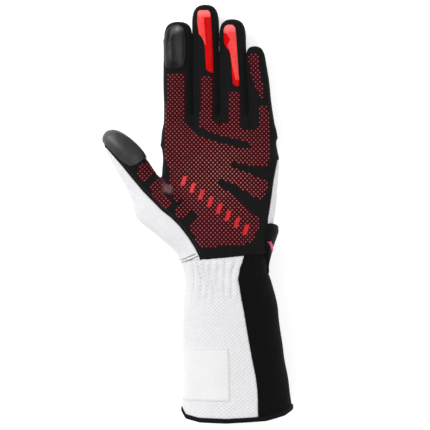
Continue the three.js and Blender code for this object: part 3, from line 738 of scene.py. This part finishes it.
def woven(name, light, dark, pitch, rough, sheen):
    """Stretch cloth: fine rows both ways over a soft mottle."""
    material, tree, shader = finish_of(name, rough, 0.08, sheen)
    where = on_object(tree)
    scale = math.pi / (10 * pitch * MM)
    rows = [node(tree, "ShaderNodeTexWave", {"Vector": where, "Scale": scale, "Distortion": 1.2},
                 bands_direction=way).outputs["Fac"] for way in "XY"]
    mottle = grain(tree, 260.0, 4.0, where)
    height = plus(tree, math_of(tree, "MULTIPLY", *rows), mottle, 0.6)
    coloured(tree, shader, shades(tree, height, (0.25, dark), (1.1 / 1.6, light)))
    raised_by(tree, shader, height, CLOTH_RELIEF)
    return material


def perforated(name, pitch, hole_shade):
    """White cloth with small holes in staggered rows, laid out in its cloth coordinates; the holes are
    painted grey, a painted shade.
    """
    material, tree, shader = finish_of(name, 0.85, 0.2, 0.1)
    cloth_at = node(tree, "ShaderNodeUVMap", {}, uv_map="cloth").outputs[0]
    lattices = []
    for offset in (0.0, 0.5):
        scaled = node(tree, "ShaderNodeVectorMath",
                      {0: cloth_at, 1: (1 / pitch, 1 / pitch, 0), 2: (offset, offset, 0)},
                      operation="MULTIPLY_ADD").outputs[0]
        cell = node(tree, "ShaderNodeVectorMath", {0: scaled}, operation="FRACTION").outputs[0]
        centred = node(tree, "ShaderNodeVectorMath", {0: cell, 1: (0.5, 0.5, 0)}, operation="SUBTRACT")
        length = node(tree, "ShaderNodeVectorMath", {0: centred.outputs[0]}, operation="LENGTH")
        lattices.append(length.outputs["Value"])
    hole = math_of(tree, "MINIMUM", *lattices)
    wall = node(tree, "ShaderNodeMapRange", {"Value": hole, 1: 0.1, 2: 0.24}).outputs[0]
    mottle = grain(tree, 300.0, 4.0)
    cloth_shade = shades(tree, mottle, (0.3, (0.71, 0.71, 0.728)), (0.7, (0.775, 0.775, 0.79)))
    hole_shadow_colour = (hole_shade, hole_shade, hole_shade * 1.03, 1)
    coloured(tree, shader, blend(tree, wall, hole_shadow_colour, cloth_shade))
    raised_by(tree, shader, plus(tree, wall, mottle, 0.3), CLOTH_RELIEF)
    return material


white_knit = perforated("white_knit", 2.6, 0.7)
black_knit = woven("black_knit", 0.005, 0.0025, 0.9, 0.9, 0.01)


def off_palm(p):
    return -on_palm(p)


def above_knuckles(p):
    return p[:, 1] - np.interp(p[:, 0], *KNUCKLE_LINE.T)


def below_knuckles(p):
    return np.maximum(-above_knuckles(p), -46.0 - p[:, 0] - np.maximum(p[:, 1] - 12, 0))


def off_thumb(p):
    return p[:, 0] - INDEX_SIDE - 0.2 * np.minimum(p[:, 1], 25)


def beside_thumb_cap(p):
    return -in_thumb_cap(p)


def crease_at(i, p):
    return CREASES[i] + crease_slant[i] * (p[:, 1] - KNUCKLE_REACH)


backs = cut_from(skin_data, tris, wrist_line, off_palm)
data, faces = cut_from(*backs, beside_thumb_cap, below_knuckles)
sewn("hand_back_cloth", data, faces, white_knit, "white_knit", ["back_panel"], uv=data[:, :2])
sewn("thumb_back_cloth", *cut_from(*backs, in_thumb_cap), black_knit, "black_knit", ["thumb_back"])
finger_backs = cut_from(*backs, above_knuckles, off_thumb)
for i, name in enumerate(FINGER_NAMES):
    fields = []
    if i > 0:
        fields.append(lambda p, i=i: p[:, 0] - crease_at(i - 1, p))
    if i < 3:
        fields.append(lambda p, i=i: crease_at(i, p) - p[:, 0])
    one_back = cut_from(*finger_backs, *fields)
    sewn(f"{name}_back_cloth", *one_back, black_knit, "black_knit", [f"{name}_back"])

# Cuff
# White perforated cloth round the front, the thumb side and the back, and a black stretch
# panel on the little-finger side, both bound at the hem with black tape.
BLACK_EDGE = [
    (19.6, -60), (19.6, -72), (18, -77.6), (16.4, -81.6), (15.6, -86.4), (14.8, -90.4),
    (15.6, -96), (17.2, -105.6), (19.6, -117.6), (21.2, -128), (23.6, -141.6), (26, -154.4),
    (28.4, -166.4), (30, -178.4), (30.4, -188), (30.4, -212),
]
in_black = inside_of([*BLACK_EDGE, (150, -250), (150, -40)])
HOLE_PITCH = 3.1
CUFF_RADIUS = 36.0
HEM_LOW = -204.2
HEM_BAND = 3.9
HEM_CLIMB = np.array([
    # x, how much higher the edge lies there
    (-67, 13.9), (-33.4, 11.2), (-27, 2.6), (-16.1, 0.4), (5.7, 0), (37.6, 1.8), (53, 5.4),
    (62.1, 10.1), (96.7, 15),
])


def hem_line(p):
    return p[:, 1] - HEM_LOW - np.interp(p[:, 0], *HEM_CLIMB.T)


def below_wrist(p):
    return -wrist_line(p)


def above_hem(p):
    return hem_line(p) - HEM_BAND + 0.6


def off_black(p):
    return -in_black(p)


def around_cuff(data):
    """Cloth coordinates: round the cuff and along it."""
    rows = smooth_rows(SLEEVE, 400)
    centre, half, deep, middle = (np.interp(data[:, 1], rows[:, 0], rows[:, k]) for k in (1, 2, 3, 4))
    angle = np.arctan2((data[:, 2] - middle) / deep, (data[:, 0] - centre) / half)
    return np.stack([np.mod(angle, 2 * math.pi) * CUFF_RADIUS, data[:, 1]], axis=1)


white_mesh = perforated("white_mesh", HOLE_PITCH, 0.62)
cuff = cut_from(skin_data, tris, below_wrist, above_hem)
white_cuff = cut_from(*cuff, off_black)
sewn("cuff_white_cloth", *white_cuff, white_mesh, "white_mesh", ["cuff_white_panel"],
     uv=around_cuff(white_cuff[0]))
sewn("cuff_black_cloth", *cut_from(*cuff, in_black), black_knit, "black_knit", ["cuff_black_panel"])

# Hem binding
# Black woven tape folded over the open edge of the cuff, outside and inside.
HEM_PROFILE = np.array([
    # along the cuff, out from the cloth
    (0, -1.1), (0.15, 0), (0.5, 0.55), (1.1, 0.75), (2.9, 0.75), (3.6, 0.55), (3.9, 0), (3.9, -1.6),
    (3.6, -2.3), (1.1, -2.4), (0.4, -2),
])
HEM_AROUND = 300
binding = woven("black_binding", 0.008, 0.003, 0.7, 0.8, 0.02)
across, up = ring_points(HEM_AROUND)
first = SLEEVE[0]
hem_points = []
for s, u in zip(across, up):
    climb = np.interp(first[1] + first[2] * s, *HEM_CLIMB.T)
    middle_y = HEM_LOW + climb + HEM_BAND / 2
    centre, half, deep, middle = (np.interp(middle_y, dense_sleeve[:, 0], dense_sleeve[:, k])
                                  for k in (1, 2, 3, 4))
    base = np.array((centre + half * s, 0.0, middle + deep * u))
    power = ROUNDNESS - 1
    out = np.array((np.sign(s) * abs(s) ** power / half, 0, np.sign(u) * abs(u) ** power / deep))
    out /= np.linalg.norm(out)
    lowest = (base[2] + out[2] * HEM_PROFILE[:, 1]).min()
    base[2] += max(OFF_TABLE / 3 - lowest, 0)
    for along, proud in HEM_PROFILE:
        p = base + out * proud
        hem_points.append((p[0], HEM_LOW + climb + along, p[2]))
count = len(HEM_PROFILE)
hem_faces = []
for i in range(HEM_AROUND):
    here, ahead = i * count, (i + 1) % HEM_AROUND * count
    for j in range(count):
        k = (j + 1) % count
        hem_faces.append((here + j, ahead + j, ahead + k, here + k))
mesh = bpy.data.meshes.new("hem_tape")
mesh.from_pydata((np.array(hem_points) * MM).tolist(), [], hem_faces)
bm = bmesh.new()
bm.from_mesh(mesh)
bmesh.ops.recalc_face_normals(bm, faces=bm.faces)
bm.to_mesh(mesh)
bm.free()
mesh.shade_smooth()
mesh.materials.append(binding)
worn(in_scene("hem_tape", mesh), "black_binding", ["cuff_hem"])

# Wrist strap
# A wide black band that starts at the edge of the palm on the little-finger side, where it
# bulges, and runs round the back of the wrist. A thin pink-red stripe is printed on it.
STRAP_LOW, STRAP_HIGH = -86.6, -46.9
STRAP_END, STRAP_TOP = -26, 25
STRAP_EDGE = np.array([(-86.6, 38.2), (-74.0, 37.4), (-60.0, 36.6), (-46.9, 38.8)])
STRAP_BULGE = np.array([
    (-86.6, -1.3), (-76, 0), (-66, 1.4), (-58, 2.8), (-52.5, 3.6), (-48.5, 2.6), (-46, 1),
])
strap_cloth = woven("black_strap", 0.007, 0.003, 0.8, 0.75, 0.02)
pink, tree, shader = finish_of("pink_print", 0.5)
haze = grain(tree, 700.0)
coloured(tree, shader, shades(tree, haze, (0.3, (0.54, 0.025, 0.085)), (0.7, (0.64, 0.06, 0.135))))


def along_strap(p):
    return np.minimum(p[:, 1] - STRAP_LOW, STRAP_HIGH - 0.1 * (p[:, 0] - 40) - p[:, 1])


def round_strap(p):
    past_edge = p[:, 0] - np.interp(p[:, 1], *STRAP_EDGE.T)
    return np.maximum(np.minimum(STRAP_TOP - p[:, 2], p[:, 0] - STRAP_END), past_edge)


def strap_bulge(data, distance):
    swell = np.interp(data[:, 1], *STRAP_BULGE.T)
    return step(data[:, 0], 30, 41) * swell


strap = cut_from(*refined(*cut_from(skin_data, tris, along_strap)), round_strap)
sewn("strap_band", *strap, strap_cloth, "black_strap", ["wrist_strap"], lift=2.0, roll=1.2, deep=0.4,
     crown=strap_bulge)
STRIPE = [
    (36.6, -61.1), (37.5, -60.2), (38.6, -63), (39.8, -67.7), (39.6, -70.4), (38.2, -66.7),
    (37.2, -63.8),
]
stripe = cut_from(*cut_from(*refined(*strap), lambda p: p[:, 2] - 19), inside_of(STRIPE))
sewn("strap_stripe", *stripe, pink, "pink_print", ["strap_accent"], lift=2.35, roll=0.3, deep=-1.5,
     crown=strap_bulge)

# Leather overlays
# Smooth black synthetic leather glued and stitched over the tips of the index finger and
# the thumb. It bulges a little over the cloth, and painted highlights lie pale on it: a spot
# and two streaks on the index tip, and a patch on the thumb tip.
def leather_of(name, dark, light, rough, gloss):
    """Leather with fine pores and shallow crinkles, its colour mixed towards pale grey by painted
    highlights.
    """
    material, tree, shader = finish_of(name, rough, gloss)
    pores = grain(tree, 1500.0, 4.0)
    hide = shades(tree, pores, (0.35, dark), (0.65, light))
    coloured(tree, shader, blend(tree, attribute(tree, "painted_highlight"), hide, (0.9, 0.9, 0.9, 1)))
    crinkles = grain(tree, 240.0, 3.0)
    raised_by(tree, shader, plus(tree, crinkles, pores, 0.15), 0.0003)
    return material


OVERLAYS = {
    "index_tip_patch": [
        (-44, 84), (-44.4, 100), (-42, 108), (-38, 111.6), (-32.4, 112), (-28, 108.8),
        (-26.8, 103.2), (-26.8, 85.6), (-28.4, 79.2), (-32.4, 76.4), (-38.8, 76.4), (-42.8, 78.8),
    ],
    "thumb_tip_patch": [
        (-92.4, 17.6), (-97.2, 21.6), (-97.2, 28.8), (-89.2, 32.8), (-80.4, 31.2), (-73.2, 24.8),
        (-63.6, 15.2), (-55.6, 7.2), (-65.6, 0), (-70.8, -1.6), (-76.4, 1.6), (-86, 11.2),
    ],
}


def over(outline):
    """The skin under an outline, cut finer."""
    field = inside_of(outline)
    rough = cut_from(*front_skin, lambda p: field(p) + 3.0)
    return cut_from(*refined(*rough), field)


front_skin = cut_from(palm_data, palm_tris, lambda p: p[:, 2] - 8)
# Painted highlights on the leather: a spot at the top of the index tip, two streaks down it, and a patch on
# the thumb tip.
PAINTED_HIGHLIGHTS = (
    # from x, y to x, y, reach, strength
    (-36, 108.2, -31.5, 108.7, 2.2, 0.24),
    (-32.7, 105, -32.3, 80, 2.4, 0.032),
    (-39.6, 97, -39.4, 81, 1.8, 0.034),
    (-89.5, 24.5, -84, 18, 5, 0.09),
)
LEATHERS = {
    "index_tip_patch": leather_of("smooth_leather", 0.002, 0.005, 0.36, 0.2),
    "thumb_tip_patch": leather_of("worn_leather", 0.016, 0.034, 0.4, 0.4),
}


def leather_bulge(data, distance):
    """Fuller towards the middle, with faint ribs along the index finger."""
    ribs = 0.2 * np.cos((data[:, 0] + 31.2) / 1.45) * step(data[:, 1], 45, 60) * step(distance, 0, 3)
    return ribs + 0.26 * np.minimum(distance, 6.5)


for name, outline in OVERLAYS.items():
    data, faces = over(outline)
    sewn(name + "_leather", data, faces, LEATHERS[name], "smooth_leather", [name], lift=0.75, roll=0.9,
         deep=0.3, marks={"painted_highlight": fold_at(data[:, 0], data[:, 1], PAINTED_HIGHLIGHTS)}, crown=leather_bulge)

# Red grip strips
# Raised strips of bright red silicone moulded on the middle and ring fingers. Each has a
# raised facet along one side and a groove behind its head at the fingertip; the facet and
# the head are painted paler, a painted highlight.
red, tree, shader = finish_of("red_silicone", 0.22, 0.08)
haze = grain(tree, 500.0)
deep_red = shades(tree, haze, (0.3, (0.52, 0.0, 0.0)), (0.7, (0.64, 0.0, 0.002)))
# Painted highlights: a paler red on the facet and a pale pink on the head.
highlight_red = shades(tree, haze, (0.3, (0.78, 0.045, 0.045)), (0.7, (0.88, 0.075, 0.07)))
painted_facet_highlight = node(tree, "ShaderNodeMapRange", {"Value": attribute(tree, "painted_facet_highlight"), 1: -0.15, 2: 0.25})
painted_tip_highlight = node(tree, "ShaderNodeMapRange", {"Value": attribute(tree, "painted_tip_highlight"), 1: -0.3, 2: 4.0, 3: 0.0, 4: 0.5})
deep_red_with_highlight = blend(tree, painted_facet_highlight.outputs[0], deep_red, highlight_red)
coloured(tree, shader, blend(tree, painted_tip_highlight.outputs[0], deep_red_with_highlight, (1.0, 0.3, 0.27, 1)))
raised_by(tree, shader, haze, 0.00005)
STRIPS = {
    # the outline, the outline of the raised facet with its painted highlight, and where the head's groove
    # lies
    "middle_grip_strip": (
        [
            (-16, 123.4), (-9.2, 123.4), (-7.6, 121.6), (-6.8, 116), (-6, 104), (-5.6, 92),
            (-5.2, 80), (-5.2, 73.6), (-8.4, 74.4), (-10.8, 76.8), (-11.2, 84), (-11.6, 92),
            (-12.4, 98.4), (-14, 101.6), (-16.4, 104.8), (-16.8, 108), (-17.6, 114.4),
            (-17.2, 121.6),
        ],
        [
            (-18.8, 125.6), (-5.2, 125.6), (-5.2, 118.4), (-12.4, 117.6), (-11.9, 108),
            (-10.8, 95.2), (-13.2, 98.4), (-18.8, 103.2),
        ],
        117.2,
    ),
    "ring_grip_strip": (
        [
            (4.8, 110.8), (6.8, 111.8), (10.4, 111.8), (12.4, 109.6), (13.2, 104), (14, 92),
            (14.8, 80), (15.6, 68), (15.6, 63.2), (13.2, 62.8), (10.8, 64.8), (10, 72),
            (9.6, 80), (8.8, 88), (7.6, 91.2), (5.2, 94.4), (4, 96.8), (3.6, 101.6),
            (3.6, 108),
        ],
        [
            (2, 114.4), (14, 114.4), (14, 105.6), (14.4, 92), (16, 68), (12.8, 68),
            (10, 79.2), (8, 92), (6.4, 95.2), (8.8, 100), (6, 104.8), (2, 105.6),
        ],
        105.2,
    ),
}
for name, (outline, pale, head_line) in STRIPS.items():
    data, faces = refined(*over(outline))
    on_facet = inside_of(pale)
    sewn(name + "_rubber", data, faces, red, "red_silicone", [name], lift=0.7, roll=0.35, deep=0.3,
         marks={"painted_facet_highlight": on_facet(data), "painted_tip_highlight": data[:, 1] - head_line},
         crown=lambda data, distance: (np.minimum(distance, 3.0) * 0.25
                                       + 0.3 * step(on_facet(data), -0.3, 0.3)
                                       - 0.3 * bump(data[:, 1], head_line, 0.6)))

# Grip bars
# A plain row of slanted raised bars across the palm, of matt red silicone moulded on the
# suede for grip.
BAR_ENDS = np.array([(-28.4, -13.0), (20.8, -51.6)])
BAR_COUNT, BAR_LENGTH, BAR_WIDTH = 8, 8.5, 3.6
BAR_TILT = math.radians(72)
bar_data, bar_faces = [], []
for i in range(BAR_COUNT):
    middle = BAR_ENDS[0] + (BAR_ENDS[1] - BAR_ENDS[0]) * i / (BAR_COUNT - 1)
    lean = np.array((math.cos(BAR_TILT), math.sin(BAR_TILT))) * BAR_LENGTH / 2
    wide = np.array((BAR_WIDTH / 2, 0))
    low, high = middle - lean, middle + lean
    data, faces = over([low - wide, low + wide, high + wide, high - wide])
    bar_faces.append(faces + sum(len(d) for d in bar_data))
    bar_data.append(data)
bar_red, tree, shader = finish_of("bar_red", 0.4, 0.25)
haze = grain(tree, 500.0)
coloured(tree, shader, shades(tree, haze, (0.3, (0.5, 0.004, 0.006)), (0.7, (0.66, 0.012, 0.016))))
sewn("grip_bars", np.vstack(bar_data), np.vstack(bar_faces), bar_red, "red_silicone",
     [f"palm_bar_{i + 1}" for i in range(BAR_COUNT)], lift=0.6, roll=0.4, deep=0.2)

# Name patch
# A smooth blank white patch stitched flat on the front of the cuff, running round to its
# thumb side.
patch_white, tree, shader = finish_of("white_patch", 0.55)
mottle = grain(tree, 420.0, 4.0)
coloured(tree, shader, shades(tree, mottle, (0.3, 0.73), (0.7, 0.76)))
raised_by(tree, shader, mottle, 0.00004)
PATCH = [(-34.8, -144.8), (7.2, -144.8), (8.0, -165.6), (8.4, -186.8), (-34.8, -186.8)]
patch = refined(*cut_from(skin_data, tris, lambda p: p[:, 2] - 30, inside_of(PATCH)))
sewn("blank_patch", *patch, patch_white, "white_patch", ["name_patch"], lift=0.7, roll=0.5, deep=0.3)

# Dots and stitches
# Small silicone dots stand on the printed zones in staggered rows. Sewing thread shows
# along the wrist seam, the palm's thumb side, the leather overlays and the patch.
def laid_out_tree():
    """Places a small rounded body on each point, facing out and along its heading."""
    tree = bpy.data.node_groups.new("laid_out", "GeometryNodeTree")
    taken = (("Points", "Geometry"), ("Size", "Vector"), ("Least scale", "Float"), ("Finish", "Material"))
    keys = {name: tree.interface.new_socket(name, in_out="INPUT", socket_type="NodeSocket" + kind).identifier
            for name, kind in taken}
    tree.interface.new_socket("Bodies", in_out="OUTPUT", socket_type="NodeSocketGeometry")
    given = tree.nodes.new("NodeGroupInput").outputs
    ball = node(tree, "GeometryNodeMeshIcoSphere", {"Radius": 1.0, "Subdivisions": 2})
    shaped = node(tree, "GeometryNodeTransform", {"Geometry": ball.outputs[0], "Scale": given["Size"]})
    facing, heading = (
        node(tree, "GeometryNodeInputNamedAttribute", {"Name": name}, data_type="FLOAT_VECTOR").outputs[0]
        for name in ("facing", "heading"))
    turned = node(tree, "FunctionNodeAxesToRotation", {0: facing, 1: heading},
                  primary_axis="Z", secondary_axis="X")
    scale = node(tree, "FunctionNodeRandomValue", {2: given["Least scale"], 3: 1.0, "Seed": 7},
                 data_type="FLOAT")
    placed = node(tree, "GeometryNodeInstanceOnPoints", {
        "Points": given["Points"], "Instance": shaped.outputs[0], "Rotation": turned.outputs[0],
        "Scale": scale.outputs[1]})
    real = node(tree, "GeometryNodeRealizeInstances", {0: placed.outputs[0]})
    smooth = node(tree, "GeometryNodeSetShadeSmooth", {0: real.outputs[0]})
    done = node(tree, "GeometryNodeSetMaterial", {0: smooth.outputs[0], "Material": given["Finish"]})
    node(tree, "NodeGroupOutput", {0: done.outputs[0]})
    return tree, keys


LAID_OUT, KEYS = laid_out_tree()


def on_skin(xy, lift):
    """A place on the front of the skin at (x, y) and its normal, or nothing."""
    place, normal, *_ = skin_tree.ray_cast(Vector((*xy, 200)), Vector((0, 0, -1)))
    return None if place is None else (place + normal * lift, normal)


def laid(name, spots, size, least, finish, slot):
    """One piece of many small bodies; spots are places, normals and headings."""
    mesh = bpy.data.meshes.new(name)
    mesh.from_pydata([tuple(np.array(place) * MM) for place, _, _ in spots], [], [])
    for label, k in (("facing", 1), ("heading", 2)):
        layer = mesh.attributes.new(label, "FLOAT_VECTOR", "POINT")
        layer.data.foreach_set("vector", np.array([tuple(spot[k]) for spot in spots]).ravel())
    points = in_scene(name + "_points", mesh)
    modifier = points.modifiers.new("laid_out", "NODES")
    modifier.node_group = LAID_OUT
    modifier[KEYS["Size"]] = tuple(s * MM for s in size)
    modifier[KEYS["Least scale"]] = least
    modifier[KEYS["Finish"]] = finish
    done = bpy.data.meshes.new_from_object(points.evaluated_get(bpy.context.evaluated_depsgraph_get()))
    done.name = name
    bpy.data.objects.remove(points)
    worn(in_scene(name, done), slot, [])


DOT_PITCH, ROW_PITCH = 3.4, 1.8
DOT_ROWS = range(-50, 75)
DOT_SPAN = (-85, 60)
DOT_MARGIN, DOT_LIFT, DOT_SLOPE = 0.3, 0.3, 0.25
dot_finish, tree, shader = finish_of("dot_silicone", 0.42)
# The dots are painted paler towards the middle of the palm, a painted highlight, with a faint random mottle
# over it.
mid_palm = (0.0, -0.01, 0.035)
away = node(tree, "ShaderNodeVectorMath", {0: on_object(tree), 1: mid_palm}, operation="DISTANCE")
from_highlight_middle = plus(tree, away.outputs["Value"], grain(tree, 120.0, 2.0), 0.02)
highlight_and_mottle = math_of(tree, "MULTIPLY", from_highlight_middle, 10.0)
coloured(tree, shader, shades(tree, highlight_and_mottle, (0.15, (0.42, 0.15, 0.135)), (0.45, (0.29, 0.062, 0.075)),
                              (0.8, (0.21, 0.038, 0.055))))
spots = []
for row in DOT_ROWS:
    ys = row * ROW_PITCH
    xs = np.arange(*DOT_SPAN, DOT_PITCH) + (row % 2) * DOT_PITCH / 2
    inside = printed(np.stack([xs, np.full(len(xs), ys)], axis=1)) > DOT_MARGIN
    for xd in xs[inside]:
        found = on_skin((xd, ys), DOT_LIFT)
        if found and found[1].z > DOT_SLOPE:
            spots.append((found[0], found[1], Vector((1, 0, 0))))
laid("grip_dots", spots, (0.72, 0.72, 0.42), 0.85, dot_finish, "red_silicone")


def stitched(name, rows, pitch, size, finish, lift, slot):
    """Stitches along drawn lines, laid on the skin."""
    spots = []
    for line in rows:
        line = np.array(line, dtype=float)
        lengths = np.concatenate([[0], np.cumsum(np.hypot(*np.diff(line, axis=0).T))])
        for at in np.arange(pitch / 2, lengths[-1], pitch):
            here, ahead = (np.array([np.interp(s, lengths, line[:, k]) for k in (0, 1)])
                           for s in (at, at + 0.3))
            found, next_one = on_skin(here, lift), on_skin(ahead, lift)
            if found and next_one:
                heading = next_one[0] - found[0]
                if heading.length > 1e-6:
                    spots.append((found[0], found[1], heading.normalized()))
    laid(name, spots, size, 0.9, finish, slot)


def thread(name, light, dark):
    material, tree, shader = finish_of(name, 0.7)
    coloured(tree, shader, shades(tree, grain(tree, 2500.0), (0.35, dark), (0.65, light)))
    return material


grey_thread = thread("grey_thread", 0.02, 0.008)
white_thread = thread("white_thread", 0.66, 0.5)
black_thread = thread("black_thread", 0.035, 0.015)
WRIST_ROWS = [
    [(-31.6, -75.4), (-27.6, -74.6), (-23.6, -72.8), (-18.4, -70.6)],
    [(-31.2, -77.8), (-26.8, -77), (-22, -74.9), (-17.2, -72.6)],
]
PATCH_ROW = [(-28.4, -146.0), (6.0, -146.0), (6.8, -165.6), (7.2, -185.6), (-28.4, -185.6)]
# Each row's pitch, its stitches' half sizes, thread, height over the skin, and slot.
stitched("wrist_stitches", WRIST_ROWS, 1.9, (1.35, 0.34, 0.24), grey_thread, 0.14, "black_knit")
seam_side = (np.array(LEFT_EDGE[2:-1]) + np.array((1.7, 1.3))).tolist()
stitched("palm_stitches", [seam_side], 2.4, (0.9, 0.24, 0.2), black_thread, 0.05, "black_suede")
for name, outline in OVERLAYS.items():
    middle = np.mean(outline, axis=0)
    inner = [tuple(middle + (np.array(p) - middle) * 0.86) for p in (*outline, outline[0])]
    stitched(name + "_stitches", [inner], 2.0, (0.75, 0.2, 0.18), black_thread, 1.0, "smooth_leather")
stitched("patch_stitches", [PATCH_ROW], 2.2, (0.85, 0.22, 0.2), white_thread, 0.85, "white_patch")

# Floor and light
# A plain pale floor under a broad soft sky, with a large lamp above the thumb side and a
# wider, weaker one across from it.
floor_finish, tree, shader = finish_of("floor", 0.9, 0.1)
coloured(tree, shader, shades(tree, grain(tree, 3.0), (0.3, 0.93), (0.7, 0.95)))
shader.inputs["Emission Color"].default_value = (1, 1, 1, 1)
shader.inputs["Emission Strength"].default_value = 0.5
floor_mesh = bpy.data.meshes.new("floor")
floor_mesh.from_pydata([(-6, -6, 0), (6, -6, 0), (6, 6, 0), (-6, 6, 0)], [], [(0, 1, 2, 3)])
floor_mesh.materials.append(floor_finish)
floor = in_scene("floor", floor_mesh)


def lamp(name, place, size, power):
    data = bpy.data.lights.new(name, "AREA")
    data.shape = "DISK"
    data.size = size
    data.energy = power
    made = in_scene(name, data)
    made.location = place
    made.rotation_euler = (Vector((0, -0.04, 0.02)) - Vector(place)).to_track_quat("-Z", "Y").to_euler()


lamp("key", (-1.0, 0.5, 1.4), 0.9, 19.0)
lamp("fill", (0.9, -0.3, 1.5), 1.6, 8.0)
world = bpy.data.worlds.new("sky")
world.use_nodes = True
sky = world.node_tree.nodes["Background"]
sky.inputs[0].default_value = (1, 1, 1, 1)
sky.inputs[1].default_value = 0.5
bpy.context.scene.world = world
bpy.context.scene.view_settings.view_transform = "Standard"
